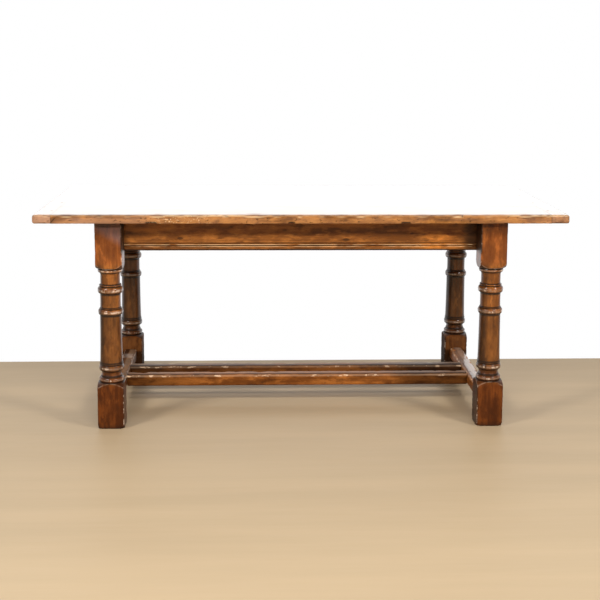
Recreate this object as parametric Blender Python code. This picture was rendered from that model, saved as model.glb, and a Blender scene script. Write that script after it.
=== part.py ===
"""Oak refectory table: a four-board top with pegged end cleats on four ring-turned legs.

Each end of the table is a frame: two legs, an end rail under the top and an end stretcher
low down, pegged together. Two moulded friezes, set against the inner faces of the legs, and
two long stretchers join the end frames. Wooden buttons hold the top down.

Units are metres and +Z is up. The origin is on the floor under the middle of the top, and
+X runs along the table. Every piece is an object of its own.
"""

import math

import bmesh
import bpy
from mathutils import Matrix, Vector

# The sides of the table as (sign, name), and the boards from front to back
ENDS = ((-1, "left"), (1, "right"))
FACES = ((-1, "front"), (1, "back"))
BOARD_NAMES = ("front", "mid_front", "mid_back", "back")
BOARD_COUNT = len(BOARD_NAMES)

# Overall sizes
TABLE_HEIGHT = 0.770
TOP_LENGTH = 1.850
TOP_DEPTH = 0.900
TOP_THICKNESS = 0.031
END_OVERHANG = 0.205  # from a leg's outer face to the end of the top
SIDE_OVERHANG = 0.048  # from a leg's outer face to the long edge of the top

# Fits
CLEARANCE = 0.0003  # between pieces that touch
OVERRUN = 0.004  # how far a cut runs past the face that it opens

# Boards and cleats of the top
TOP_ARRIS = 0.0035  # rounding along the long edges of the top
CLEAT_WIDTH = 0.064
CLEAT_ARRIS = 0.006  # rounding round the ends of the top
EDGE_TONGUE_THICKNESS = 0.0070
EDGE_TONGUE_DEPTH = 0.0090
END_TONGUE_THICKNESS = 0.012
END_TONGUE_LENGTH = 0.026
END_TONGUE_STOP = 0.032  # from the long edge of the top to the end of the tongue
CLEAT_PEG_DIAMETER = 0.009
CLEAT_PEG_SETBACK = 0.013  # from the board's shoulder, into the cleat

# Legs: the square blocks, and the turned lengths from the floor up
LEG_BLOCK = 0.0936
LEG_ARRIS = 0.0025
FOOT_BLOCK_HEIGHT = 0.1457
FOOT_SHOULDER_HEIGHT = 0.0188
BASE_RING_HEIGHT = 0.0170
BASE_FILLET_HEIGHT = 0.0050
COVE_HEIGHT = 0.0180
FOOT_RING_HEIGHT = 0.0200
QUIRK_HEIGHT = 0.0020
FILLET_HEIGHT = 0.0045
LOWER_RING_HEIGHT = 0.0220
DRUM_FILLET_HEIGHT = 0.0035
DRUM_HEIGHT = 0.0505
UPPER_RING_HEIGHT = 0.0250
NECK_HEIGHT = 0.0325
COLLAR_SWEEP_HEIGHT = 0.0124
COLLAR_HEIGHT = 0.0115
COLLAR_QUIRK_HEIGHT = 0.0015
TOP_SHOULDER_HEIGHT = 0.0535
TOP_BLOCK_HEIGHT = 0.1148
# and the turned diameters
STOCK_DIAMETER = 0.1440  # wider than the block's diagonal, where the leg stays square
SHOULDER_DIAMETER = 0.0810
BASE_RING_DIAMETER = 0.0880
BASE_FILLET_DIAMETER = 0.0744
COVE_DIAMETER = 0.0684
FOOT_RING_DIAMETER = 0.0882
FOOT_FILLET_DIAMETER = 0.0828
SHAFT_LOW_DIAMETER = 0.0794
SHAFT_HIGH_DIAMETER = 0.0750
LOWER_RING_DIAMETER = 0.0876
DRUM_DIAMETER = 0.0722
DRUM_FILLET_DIAMETER = 0.0770
UPPER_RING_DIAMETER = 0.0896
NECK_FILLET_DIAMETER = 0.0784
NECK_DIAMETER = 0.0686
COLLAR_DIAMETER = 0.0866
TURNED_SIDES = 20
BEAD_STEPS = 4
SWEEP_STEPS = 3
SHOULDER_STEPS = 4

# Friezes and end rails, and the moulding run along their lower edge
RAIL_HEIGHT = 0.1130
FRIEZE_THICKNESS = 0.0280
END_RAIL_THICKNESS = 0.0280
MOULDING_GROOVE_TOP = 0.0290  # height of each member above the rail's lower edge
MOULDING_GROOVE_FLOOR = 0.0268
MOULDING_UPPER_ARRIS = 0.0205
MOULDING_STEP = 0.0160
MOULDING_LOWER_ARRIS = 0.0130
MOULDING_UNDERCUT = 0.0070
MOULDING_GROOVE_DEPTH = 0.0030  # depth of each member behind the rail's face
MOULDING_STEP_DEPTH = 0.0022
MOULDING_BELLY_DEPTH = 0.0010
MOULDING_FOOT_DEPTH = 0.0075

# Stretchers
STRETCHER_HEIGHT = 0.0410
STRETCHER_UNDERSIDE = 0.0670  # above the floor
END_STRETCHER_WIDTH = 0.0500
LONG_STRETCHER_WIDTH = 0.0520
LONG_STRETCHER_SPACING = 0.1260  # centre to centre
STRETCHER_ARRIS = 0.0045

# Tenons and their pegs
RAIL_TENON_THICKNESS = 0.0120
RAIL_TENON_LENGTH = 0.0450
RAIL_TENON_TOP_SHOULDER = 0.0240
RAIL_TENON_LOW_SHOULDER = 0.0320
FRIEZE_TENON_THICKNESS = 0.0100
FRIEZE_TENON_LENGTH = 0.0120
FRIEZE_TENON_TOP_SHOULDER = 0.0340
FRIEZE_TENON_LOW_SHOULDER = 0.0330
STRETCHER_TENON_THICKNESS = 0.0160
STRETCHER_TENON_HEIGHT = 0.0270
STRETCHER_TENON_LENGTH = 0.0480
LONG_TENON_WIDTH = 0.0340
LONG_TENON_HEIGHT = 0.0130
LONG_TENON_LENGTH = 0.0320
PEG_DIAMETER = 0.0095
PEG_PAST_TENON = 0.0120  # how far a peg runs on past the tenon that it pins
UPRIGHT_PEG_PAST_TENON = 0.0060
PEG_SHARES = (0.2, 0.8)  # up the tenon
FRIEZE_PEG_DEPTH = 0.0300  # into the leg
FRIEZE_PEG_SHARE = 0.55  # up the rail
PEG_SIDES = 12

# Buttons that hold the top down, and their screws
BUTTON_WIDTH = 0.0300
BUTTON_LENGTH = 0.0400
BUTTON_THICKNESS = 0.0220
BUTTON_TONGUE_WIDTH = 0.0240
BUTTON_TONGUE_THICKNESS = 0.0074
BUTTON_TONGUE_LENGTH = 0.0080
BUTTON_TONGUE_DROP = 0.0125  # from the underside of the top to the tongue
BUTTON_ARRIS = 0.0015
FRIEZE_BUTTON_SHARES = (-0.62, 0.0, 0.62)  # of the leg's distance from the middle
SCREW_DIAMETER = 0.0044
SCREW_LENGTH = 0.0380
SCREW_HEAD_DIAMETER = 0.0086
SCREW_HEAD_HEIGHT = 0.0032
SCREW_POINT_HEIGHT = 0.0050
SCREW_SIDES = 10

# Places that follow from the sizes
UNDERSIDE = TABLE_HEIGHT - TOP_THICKNESS
FRAME_TOP = UNDERSIDE - CLEARANCE
TOP_END = TOP_LENGTH / 2
TOP_SIDE = TOP_DEPTH / 2
BOARD_PITCH = TOP_DEPTH / BOARD_COUNT
BOARD_SHOULDER = TOP_END - CLEAT_WIDTH  # where the boards stop and the cleats start
TOP_MIDDLE = UNDERSIDE + TOP_THICKNESS / 2
CLEAT_PEG_X = BOARD_SHOULDER + CLEAT_PEG_SETBACK
LEG_X = TOP_END - END_OVERHANG - LEG_BLOCK / 2
LEG_Y = TOP_SIDE - SIDE_OVERHANG - LEG_BLOCK / 2
LEG_INNER_Y = LEG_Y - LEG_BLOCK / 2
LEG_INNER_X = LEG_X - LEG_BLOCK / 2
RAIL_BOTTOM = FRAME_TOP - RAIL_HEIGHT
RAIL_INNER_X = LEG_X - END_RAIL_THICKNESS / 2
FRIEZE_OUTER_Y = LEG_INNER_Y - CLEARANCE
FRIEZE_INNER_Y = FRIEZE_OUTER_Y - FRIEZE_THICKNESS
STRETCHER_TOP = STRETCHER_UNDERSIDE + STRETCHER_HEIGHT
STRETCHER_MIDDLE = STRETCHER_UNDERSIDE + STRETCHER_HEIGHT / 2
STRETCHER_INNER_X = LEG_X - END_STRETCHER_WIDTH / 2
LONG_STRETCHER_Y = LONG_STRETCHER_SPACING / 2
RAIL_TENON_LOW = RAIL_BOTTOM + RAIL_TENON_LOW_SHOULDER
RAIL_TENON_HIGH = FRAME_TOP - RAIL_TENON_TOP_SHOULDER
FRIEZE_TENON_LOW = RAIL_BOTTOM + FRIEZE_TENON_LOW_SHOULDER
FRIEZE_TENON_HIGH = FRAME_TOP - FRIEZE_TENON_TOP_SHOULDER
TENON_PEG_Y = LEG_INNER_Y + RAIL_TENON_LENGTH / 2
STRETCHER_PEG_Y = LEG_INNER_Y + STRETCHER_TENON_LENGTH / 2
LONG_PEG_X = STRETCHER_INNER_X + LONG_TENON_LENGTH / 2
FRIEZE_PEG_X = (LEG_INNER_X + RAIL_INNER_X) / 2
FRIEZE_PEG_Z = RAIL_BOTTOM + FRIEZE_PEG_SHARE * RAIL_HEIGHT
RAIL_PEG_END_X = LEG_X - RAIL_TENON_THICKNESS / 2 - PEG_PAST_TENON
STRETCHER_PEG_END_X = LEG_X - STRETCHER_TENON_THICKNESS / 2 - PEG_PAST_TENON
BUTTON_TOP = UNDERSIDE - CLEARANCE
BUTTON_TONGUE_TOP = BUTTON_TOP - BUTTON_TONGUE_DROP
BUTTON_GROOVE_REACH = BUTTON_TONGUE_LENGTH + CLEARANCE


def clear_scene():
    for obj in list(bpy.data.objects):
        bpy.data.objects.remove(obj, do_unlink=True)


def oak(name, colour, roughness):
    """A waxed oak as a plain surface: its colour and its polish."""
    material = bpy.data.materials.new(name)
    material.use_nodes = True
    surface = material.node_tree.nodes["Principled BSDF"]
    surface.inputs["Base Color"].default_value = (*colour, 1)
    surface.inputs["Roughness"].default_value = roughness
    surface.inputs["Metallic"].default_value = 0
    material.diffuse_color = (*colour, 1)
    return material


def steel(name):
    material = bpy.data.materials.new(name)
    material.use_nodes = True
    surface = material.node_tree.nodes["Principled BSDF"]
    surface.inputs["Base Color"].default_value = (0.45, 0.43, 0.40, 1)
    surface.inputs["Roughness"].default_value = 0.4
    surface.inputs["Metallic"].default_value = 1
    return material


def add_object(name, mesh_builder, material=None):
    """Makes an object of the closed mesh that bmesh holds."""
    bmesh.ops.recalc_face_normals(mesh_builder, faces=mesh_builder.faces[:])
    mesh = bpy.data.meshes.new(name)
    mesh_builder.to_mesh(mesh)
    mesh_builder.free()
    obj = bpy.data.objects.new(name, mesh)
    bpy.context.scene.collection.objects.link(obj)
    if material:
        mesh.materials.append(material)
    else:
        obj.hide_render = True
        obj.display_type = "WIRE"
    mesh.shade_smooth()
    mesh.set_sharp_from_angle(angle=math.radians(35))
    return obj


def add_block(builder, low, high):
    """Adds a box between two corners, given in any order on each axis."""
    corners = [(min(a, b), max(a, b)) for a, b in zip(low, high)]
    middle = Vector([(a + b) / 2 for a, b in corners])
    size = Vector([b - a for a, b in corners])
    place = Matrix.Translation(middle) @ Matrix.Diagonal((*size, 1))
    bmesh.ops.create_cube(builder, size=1, matrix=place)


def add_rod(builder, start, end, diameter, sides):
    """Adds a closed round rod between two points."""
    start, end = Vector(start), Vector(end)
    turn = (end - start).to_track_quat("Z", "Y").to_matrix().to_4x4()
    place = Matrix.Translation((start + end) / 2) @ turn
    bmesh.ops.create_cone(
        builder,
        cap_ends=True,
        segments=sides,
        radius1=diameter / 2,
        radius2=diameter / 2,
        depth=(end - start).length,
        matrix=place,
    )


def block(name, low, high, material=None):
    builder = bmesh.new()
    add_block(builder, low, high)
    return add_object(name, builder, material)


def blocks(name, corner_pairs):
    builder = bmesh.new()
    for low, high in corner_pairs:
        add_block(builder, low, high)
    return add_object(name, builder)


def rods(name, ends, diameter, sides=PEG_SIDES):
    builder = bmesh.new()
    for start, end in ends:
        add_rod(builder, start, end, diameter, sides)
    return add_object(name, builder)


def peg(name, start, end, diameter, material):
    builder = bmesh.new()
    add_rod(builder, start, end, diameter, PEG_SIDES)
    return add_object(name, builder, material)


def extrusion(name, outline, start, end, place, material):
    """Runs a closed outline from start to end. place turns (u, v, along) into x, y, z."""
    builder = bmesh.new()
    face = builder.faces.new([builder.verts.new(place(u, v, start)) for u, v in outline])
    moved = bmesh.ops.extrude_face_region(builder, geom=[face])["geom"]
    far_side = [item for item in moved if isinstance(item, bmesh.types.BMVert)]
    shift = Vector(place(0, 0, end)) - Vector(place(0, 0, start))
    bmesh.ops.translate(builder, verts=far_side, vec=shift)
    return add_object(name, builder, material)


def turning(name, outline, x, y, sides, material=None):
    """Turns an outline of (radius, height) points about the upright line through x, y."""
    builder = bmesh.new()
    vertices = [builder.verts.new((x + r, y, z)) for r, z in outline]
    edges = [builder.edges.new(pair) for pair in zip(vertices, vertices[1:])]
    bmesh.ops.spin(
        builder,
        geom=vertices + edges,
        cent=(x, y, 0),
        axis=(0, 0, 1),
        angle=2 * math.pi,
        steps=sides,
        use_merge=True,
    )
    bmesh.ops.remove_doubles(builder, verts=builder.verts[:], dist=CLEARANCE / 10)
    return add_object(name, builder, material)


def combine(obj, tool, operation):
    """Adds, cuts or keeps with another object's shape, as a modifier."""
    modifier = obj.modifiers.new(f"{operation.lower()}_{tool.name}", "BOOLEAN")
    modifier.operation = operation
    modifier.object = tool
    modifier.solver = "EXACT"


def round_edges(obj, width, chosen, segments=2):
    """Rounds the edges for which chosen(edge, mesh) is true."""
    mesh = obj.data
    weights = mesh.attributes.new("bevel_weight_edge", "FLOAT", "EDGE")
    for edge in mesh.edges:
        weights.data[edge.index].value = 1.0 if chosen(edge, mesh) else 0.0
    modifier = obj.modifiers.new("rounding", "BEVEL")
    modifier.limit_method = "WEIGHT"
    modifier.width = width
    modifier.segments = segments


def runs_along(axis):
    """Picks the edges that are parallel to an axis, 0 for X, 1 for Y and 2 for Z."""

    def chosen(edge, mesh):
        a, b = (mesh.vertices[index].co for index in edge.vertices)
        step = b - a
        return abs(step[axis]) > 0.99 * step.length

    return chosen


def runs_along_at(axis, across, place):
    """Picks the edges parallel to one axis that lie at a place on another axis."""
    parallel = runs_along(axis)

    def chosen(edge, mesh):
        offset = mesh.vertices[edge.vertices[0]].co[across] - place
        return parallel(edge, mesh) and abs(offset) < CLEARANCE

    return chosen


# The top


def board_span(index):
    """The lowest and highest y of a board, with the joint's gap shared by its two boards."""
    low = -TOP_SIDE + index * BOARD_PITCH
    high = low + BOARD_PITCH
    if index > 0:
        low += CLEARANCE / 2
    if index < BOARD_COUNT - 1:
        high -= CLEARANCE / 2
    return low, high


def cleat_peg_places():
    """The y of each peg that pins a cleat: one in the middle of each board."""
    return [-TOP_SIDE + (index + 0.5) * BOARD_PITCH for index in range(BOARD_COUNT)]


def make_board(name, index, material):
    """A board with a tongue on each end, its edge joints, and peg and screw holes."""
    low, high = board_span(index)
    reach = BOARD_SHOULDER + END_TONGUE_LENGTH
    board = block(name, (-reach, low, UNDERSIDE), (reach, high, TABLE_HEIGHT), material)
    outer = {0: low, BOARD_COUNT - 1: high}.get(index)
    if outer is not None:
        round_edges(board, TOP_ARRIS, runs_along_at(0, 1, outer))
    half = EDGE_TONGUE_THICKNESS / 2
    if index < BOARD_COUNT - 1:
        tongue = block(
            f"{name}_edge_tongue",
            (-reach, high - OVERRUN, TOP_MIDDLE - half),
            (reach, high + CLEARANCE / 2 + EDGE_TONGUE_DEPTH, TOP_MIDDLE + half),
        )
        combine(board, tongue, "UNION")
    if index > 0:
        groove = block(
            f"{name}_edge_groove",
            (-reach - OVERRUN, low - OVERRUN, TOP_MIDDLE - half - CLEARANCE),
            (reach + OVERRUN, low + EDGE_TONGUE_DEPTH + CLEARANCE,
             TOP_MIDDLE + half + CLEARANCE),
        )
        combine(board, groove, "DIFFERENCE")
    cheeks = []
    half = END_TONGUE_THICKNESS / 2
    past = high + EDGE_TONGUE_DEPTH + OVERRUN
    for side, _ in ENDS:
        shoulder, beyond = side * BOARD_SHOULDER, side * (reach + OVERRUN)
        cheeks += [
            ((shoulder, low - OVERRUN, TOP_MIDDLE + half), (beyond, past, TABLE_HEIGHT + OVERRUN)),
            ((shoulder, low - OVERRUN, TOP_MIDDLE - half), (beyond, past, UNDERSIDE - OVERRUN)),
        ]
    combine(board, blocks(f"{name}_cheeks", cheeks), "DIFFERENCE")
    if outer is not None:
        way = math.copysign(1, outer)
        stops = [
            ((side * BOARD_SHOULDER, outer - way * END_TONGUE_STOP, UNDERSIDE - OVERRUN),
             (side * (reach + OVERRUN), outer + way * OVERRUN, TABLE_HEIGHT + OVERRUN))
            for side, _ in ENDS
        ]
        combine(board, blocks(f"{name}_stops", stops), "DIFFERENCE")
    holes = [
        ((side * CLEAT_PEG_X, y, UNDERSIDE), (side * CLEAT_PEG_X, y, TABLE_HEIGHT))
        for side, _ in ENDS
        for y in cleat_peg_places()
        if low < y < high
    ]
    hole = CLEAT_PEG_DIAMETER + 2 * CLEARANCE
    combine(board, rods(f"{name}_peg_holes", holes, hole), "DIFFERENCE")
    screws = [
        ((x, y, UNDERSIDE - OVERRUN), (x, y, screw_tip() + CLEARANCE))
        for x, y in screw_places().values()
        if low < y < high
    ]
    if screws:
        hole = SCREW_DIAMETER + 2 * CLEARANCE
        combine(board, rods(f"{name}_screw_holes", screws, hole, SCREW_SIDES), "DIFFERENCE")
    return board


def make_cleat(name, side, material):
    """The board across an end of the top, grooved for the boards' tongues."""
    inner = side * (BOARD_SHOULDER + CLEARANCE)
    outer = side * TOP_END
    cleat = block(name, (inner, -TOP_SIDE, UNDERSIDE), (outer, TOP_SIDE, TABLE_HEIGHT), material)

    def rounded(edge, mesh):
        ends = [mesh.vertices[index].co for index in edge.vertices]
        on_end = all(abs(end.x - outer) < CLEARANCE for end in ends)
        along = runs_along(0)(edge, mesh)
        return on_end or along

    round_edges(cleat, CLEAT_ARRIS, rounded)
    half = END_TONGUE_THICKNESS / 2 + CLEARANCE
    stop = TOP_SIDE - END_TONGUE_STOP + CLEARANCE
    bottom = side * (BOARD_SHOULDER + END_TONGUE_LENGTH + CLEARANCE)
    low = (inner - side * OVERRUN, -stop, TOP_MIDDLE - half)
    groove = block(f"{name}_groove", low, (bottom, stop, TOP_MIDDLE + half))
    combine(cleat, groove, "DIFFERENCE")
    holes = [
        ((side * CLEAT_PEG_X, y, UNDERSIDE - OVERRUN),
         (side * CLEAT_PEG_X, y, TABLE_HEIGHT + OVERRUN))
        for y in cleat_peg_places()
    ]
    hole = CLEAT_PEG_DIAMETER + 2 * CLEARANCE
    combine(cleat, rods(f"{name}_peg_holes", holes, hole), "DIFFERENCE")
    return cleat


def make_cleat_pegs(side, end, material):
    """The pegs through a cleat and the tongues of the boards."""
    x = side * CLEAT_PEG_X
    for board, y in zip(BOARD_NAMES, cleat_peg_places()):
        name = f"cleat_peg_{board}_{end}"
        peg(name, (x, y, UNDERSIDE), (x, y, TABLE_HEIGHT), CLEAT_PEG_DIAMETER, material)


# The legs


def bead(low, high, foot, crown, head):
    """A half-round swelling between two heights, as (radius, height) points."""
    points = []
    for step in range(1, BEAD_STEPS):
        share = step / BEAD_STEPS
        base = foot + (head - foot) * share
        height = low + (high - low) * (1 - math.cos(math.pi * share)) / 2
        points.append((base + (crown - base) * math.sin(math.pi * share), height))
    return [(foot, low), *points, (head, high)]


def cove(low, high, foot, waist, head):
    """A hollow between two heights, narrowest at waist."""
    points = []
    for step in range(1, BEAD_STEPS):
        share = step / BEAD_STEPS
        base = foot + (head - foot) * share
        depth = (base - waist) * math.sin(math.pi * share)
        points.append((base - depth, low + (high - low) * share))
    return [(foot, low), *points, (head, high)]


def shoulder(block_end, neck_end, neck):
    """The quarter ellipse where the lathe rounds the square block down to a neck."""
    stock = STOCK_DIAMETER / 2
    points = []
    for step in range(SHOULDER_STEPS + 1):
        angle = math.pi / 2 * step / SHOULDER_STEPS
        radius = neck + (stock - neck) * math.cos(angle)
        points.append((radius, block_end + (neck_end - block_end) * math.sin(angle)))
    return points


def flared_shaft(low, high):
    """The shaft, which swells towards its foot."""
    points = []
    for step in range(SWEEP_STEPS + 1):
        share = step / SWEEP_STEPS
        flare = (SHAFT_LOW_DIAMETER - SHAFT_HIGH_DIAMETER) * (1 - share) ** 2
        points.append(((SHAFT_HIGH_DIAMETER + flare) / 2, low + (high - low) * share))
    return points


def collar_sweep(low, high, neck, rim):
    """The hollow sweep from the neck out to the collar."""
    points = []
    for step in range(1, SWEEP_STEPS + 1):
        angle = math.pi / 2 * step / SWEEP_STEPS
        radius = neck + (rim - neck) * (1 - math.cos(angle))
        points.append((radius, low + (high - low) * math.sin(angle)))
    return points


def turned_outline():
    """The leg's half outline as (radius, height) points, from below the floor up."""
    stock = STOCK_DIAMETER / 2
    neck = NECK_DIAMETER / 2
    drum = DRUM_DIAMETER / 2
    shoulder_radius = SHOULDER_DIAMETER / 2
    outline = [(0, -OVERRUN), (stock, -OVERRUN)]

    z = FOOT_BLOCK_HEIGHT
    foot_shoulder = z + FOOT_SHOULDER_HEIGHT
    outline += shoulder(z, foot_shoulder, shoulder_radius)
    z = foot_shoulder
    base_fillet = BASE_FILLET_DIAMETER / 2
    outline += bead(
        z, z + BASE_RING_HEIGHT, shoulder_radius, BASE_RING_DIAMETER / 2, base_fillet
    )[1:]
    z += BASE_RING_HEIGHT
    outline += cove(
        z + BASE_FILLET_HEIGHT,
        z + BASE_FILLET_HEIGHT + COVE_HEIGHT,
        base_fillet,
        COVE_DIAMETER / 2,
        SHAFT_LOW_DIAMETER / 2,
    )
    z += BASE_FILLET_HEIGHT + COVE_HEIGHT
    shaft_low = SHAFT_LOW_DIAMETER / 2
    outline += bead(
        z, z + FOOT_RING_HEIGHT, shaft_low, FOOT_RING_DIAMETER / 2, shaft_low
    )[1:]
    z += FOOT_RING_HEIGHT + QUIRK_HEIGHT
    fillet = FOOT_FILLET_DIAMETER / 2
    outline += [(shaft_low, z), (fillet, z), (fillet, z + FILLET_HEIGHT)]
    z += FILLET_HEIGHT

    # from the top down, so that the shaft takes up what is left
    top_block = FRAME_TOP - TOP_BLOCK_HEIGHT
    collar_top = top_block - TOP_SHOULDER_HEIGHT
    collar_low = collar_top - COLLAR_QUIRK_HEIGHT - COLLAR_HEIGHT
    neck_top = collar_low - COLLAR_SWEEP_HEIGHT
    neck_low = neck_top - NECK_HEIGHT
    upper_ring_top = neck_low - FILLET_HEIGHT - QUIRK_HEIGHT
    drum_top = upper_ring_top - UPPER_RING_HEIGHT
    drum_low = drum_top - DRUM_HEIGHT
    lower_ring_top = drum_low - DRUM_FILLET_HEIGHT
    shaft_top = lower_ring_top - LOWER_RING_HEIGHT

    outline += flared_shaft(z, shaft_top)
    outline += bead(
        shaft_top, lower_ring_top, SHAFT_HIGH_DIAMETER / 2, LOWER_RING_DIAMETER / 2, drum
    )[1:]
    fillet = DRUM_FILLET_DIAMETER / 2
    outline += [(fillet, lower_ring_top), (fillet, drum_low), (drum, drum_low)]
    outline += bead(drum_top, upper_ring_top, drum, UPPER_RING_DIAMETER / 2, drum)
    fillet = NECK_FILLET_DIAMETER / 2
    outline += [(drum, neck_low - FILLET_HEIGHT), (fillet, neck_low - FILLET_HEIGHT)]
    outline += [(fillet, neck_low), (neck, neck_low), (neck, neck_top)]
    outline += collar_sweep(neck_top, collar_low, neck, shoulder_radius)
    outline += bead(
        collar_low,
        collar_low + COLLAR_HEIGHT,
        shoulder_radius,
        COLLAR_DIAMETER / 2,
        shoulder_radius,
    )[1:]
    outline += reversed(shoulder(top_block, collar_top, shoulder_radius))
    outline += [(stock, FRAME_TOP + OVERRUN), (0, FRAME_TOP + OVERRUN)]
    return outline


def make_leg(name, side_x, side_y, material):
    """A leg turned from square stock, with its mortises and peg holes."""
    x, y = side_x * LEG_X, side_y * LEG_Y
    half = LEG_BLOCK / 2
    leg = block(name, (x - half, y - half, 0), (x + half, y + half, FRAME_TOP), material)

    def rounded(edge, mesh):
        ends = [mesh.vertices[index].co for index in edge.vertices]
        return any(end.z < FRAME_TOP - CLEARANCE for end in ends)

    round_edges(leg, LEG_ARRIS, rounded)
    combine(leg, turning(f"{name}_turning", turned_outline(), x, y, TURNED_SIDES), "INTERSECT")

    inner = side_y * (LEG_INNER_Y - OVERRUN)
    rail_half = RAIL_TENON_THICKNESS / 2 + CLEARANCE
    rail_bottom = side_y * (LEG_INNER_Y + RAIL_TENON_LENGTH + CLEARANCE)
    foot_half = STRETCHER_TENON_THICKNESS / 2 + CLEARANCE
    foot_bottom = side_y * (LEG_INNER_Y + STRETCHER_TENON_LENGTH + CLEARANCE)
    foot_rise = STRETCHER_TENON_HEIGHT / 2 + CLEARANCE
    mortises = [
        ((x - rail_half, inner, RAIL_TENON_LOW - CLEARANCE),
         (x + rail_half, rail_bottom, RAIL_TENON_HIGH + CLEARANCE)),
        ((x - foot_half, inner, STRETCHER_MIDDLE - foot_rise),
         (x + foot_half, foot_bottom, STRETCHER_MIDDLE + foot_rise)),
    ]
    combine(leg, blocks(f"{name}_mortises", mortises), "DIFFERENCE")

    face = side_x * (LEG_X + half + OVERRUN)
    holes = [
        ((face, side_y * TENON_PEG_Y, z),
         (side_x * (RAIL_PEG_END_X - CLEARANCE), side_y * TENON_PEG_Y, z))
        for z in rail_peg_heights().values()
    ]
    holes.append(
        ((face, side_y * STRETCHER_PEG_Y, STRETCHER_MIDDLE),
         (side_x * (STRETCHER_PEG_END_X - CLEARANCE), side_y * STRETCHER_PEG_Y,
          STRETCHER_MIDDLE))
    )
    holes.append(
        ((side_x * FRIEZE_PEG_X, inner, FRIEZE_PEG_Z),
         (side_x * FRIEZE_PEG_X, side_y * (LEG_INNER_Y + FRIEZE_PEG_DEPTH + CLEARANCE),
          FRIEZE_PEG_Z))
    )
    hole = PEG_DIAMETER + 2 * CLEARANCE
    combine(leg, rods(f"{name}_peg_holes", holes, hole), "DIFFERENCE")
    return leg


def rail_peg_heights():
    """The heights of the two pegs through an end rail's tenon."""
    rise = RAIL_TENON_HIGH - RAIL_TENON_LOW
    heights = [RAIL_TENON_LOW + share * rise for share in PEG_SHARES]
    return dict(zip(("lower", "upper"), heights))


# The friezes and the end rails


def moulded_outline(thickness):
    """A rail's section as (depth behind its outer face, height above its lower edge)."""
    belly = (MOULDING_UPPER_ARRIS + MOULDING_GROOVE_FLOOR) / 2
    return [
        (thickness, 0),
        (thickness, RAIL_HEIGHT),
        (0, RAIL_HEIGHT),
        (0, MOULDING_GROOVE_TOP),
        (MOULDING_GROOVE_DEPTH, MOULDING_GROOVE_FLOOR),
        (MOULDING_BELLY_DEPTH, belly),
        (0, MOULDING_UPPER_ARRIS),
        (MOULDING_STEP_DEPTH, MOULDING_STEP),
        (MOULDING_BELLY_DEPTH, MOULDING_LOWER_ARRIS),
        (MOULDING_FOOT_DEPTH / 2, MOULDING_UNDERCUT),
        (MOULDING_FOOT_DEPTH, 0),
    ]


def button_groove_heights():
    high = BUTTON_TONGUE_TOP + CLEARANCE
    return high - BUTTON_TONGUE_THICKNESS - 2 * CLEARANCE, high


def make_frieze(name, side, material):
    """A long rail against the inner faces of two legs, tenoned into the end rails."""
    end = RAIL_INNER_X - CLEARANCE

    def place(depth, height, along):
        return (along, side * (FRIEZE_OUTER_Y - depth), RAIL_BOTTOM + height)

    frieze = extrusion(name, moulded_outline(FRIEZE_THICKNESS), -end, end, place, material)
    middle = side * (FRIEZE_OUTER_Y + FRIEZE_INNER_Y) / 2
    half = FRIEZE_TENON_THICKNESS / 2
    tenons = [
        ((way * (end - OVERRUN), middle - half, FRIEZE_TENON_LOW),
         (way * (RAIL_INNER_X + FRIEZE_TENON_LENGTH), middle + half, FRIEZE_TENON_HIGH))
        for way in (-1, 1)
    ]
    combine(frieze, blocks(f"{name}_tenons", tenons), "UNION")
    low, high = button_groove_heights()
    groove = block(
        f"{name}_groove",
        (-end - OVERRUN, side * (FRIEZE_INNER_Y - OVERRUN), low),
        (end + OVERRUN, side * (FRIEZE_INNER_Y + BUTTON_GROOVE_REACH), high),
    )
    combine(frieze, groove, "DIFFERENCE")
    holes = [
        ((way * FRIEZE_PEG_X, side * (FRIEZE_INNER_Y - OVERRUN), FRIEZE_PEG_Z),
         (way * FRIEZE_PEG_X, side * (FRIEZE_OUTER_Y + OVERRUN), FRIEZE_PEG_Z))
        for way in (-1, 1)
    ]
    hole = PEG_DIAMETER + 2 * CLEARANCE
    combine(frieze, rods(f"{name}_peg_holes", holes, hole), "DIFFERENCE")
    return frieze


def make_end_rail(name, side, material):
    """The rail between the two legs of an end, tenoned into both."""
    end = LEG_INNER_Y - CLEARANCE
    outer = LEG_X + END_RAIL_THICKNESS / 2

    def place(depth, height, along):
        return (side * (outer - depth), along, RAIL_BOTTOM + height)

    rail = extrusion(name, moulded_outline(END_RAIL_THICKNESS), -end, end, place, material)
    half = RAIL_TENON_THICKNESS / 2
    tenons = [
        ((side * LEG_X - half, way * (end - OVERRUN), RAIL_TENON_LOW),
         (side * LEG_X + half, way * (LEG_INNER_Y + RAIL_TENON_LENGTH), RAIL_TENON_HIGH))
        for way in (-1, 1)
    ]
    combine(rail, blocks(f"{name}_tenons", tenons), "UNION")
    frieze_middle = (FRIEZE_OUTER_Y + FRIEZE_INNER_Y) / 2
    mortise_half = FRIEZE_TENON_THICKNESS / 2 + CLEARANCE
    inner = side * (RAIL_INNER_X - OVERRUN)
    mortise_bottom = side * (RAIL_INNER_X + FRIEZE_TENON_LENGTH + CLEARANCE)
    mortises = [
        ((inner, way * frieze_middle - mortise_half, FRIEZE_TENON_LOW - CLEARANCE),
         (mortise_bottom, way * frieze_middle + mortise_half, FRIEZE_TENON_HIGH + CLEARANCE))
        for way in (-1, 1)
    ]
    combine(rail, blocks(f"{name}_mortises", mortises), "DIFFERENCE")
    reach = half + OVERRUN
    holes = [
        ((side * (LEG_X - reach), way * TENON_PEG_Y, z),
         (side * (LEG_X + reach), way * TENON_PEG_Y, z))
        for way in (-1, 1)
        for z in rail_peg_heights().values()
    ]
    hole = PEG_DIAMETER + 2 * CLEARANCE
    combine(rail, rods(f"{name}_peg_holes", holes, hole), "DIFFERENCE")
    return rail


# The stretchers


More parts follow.
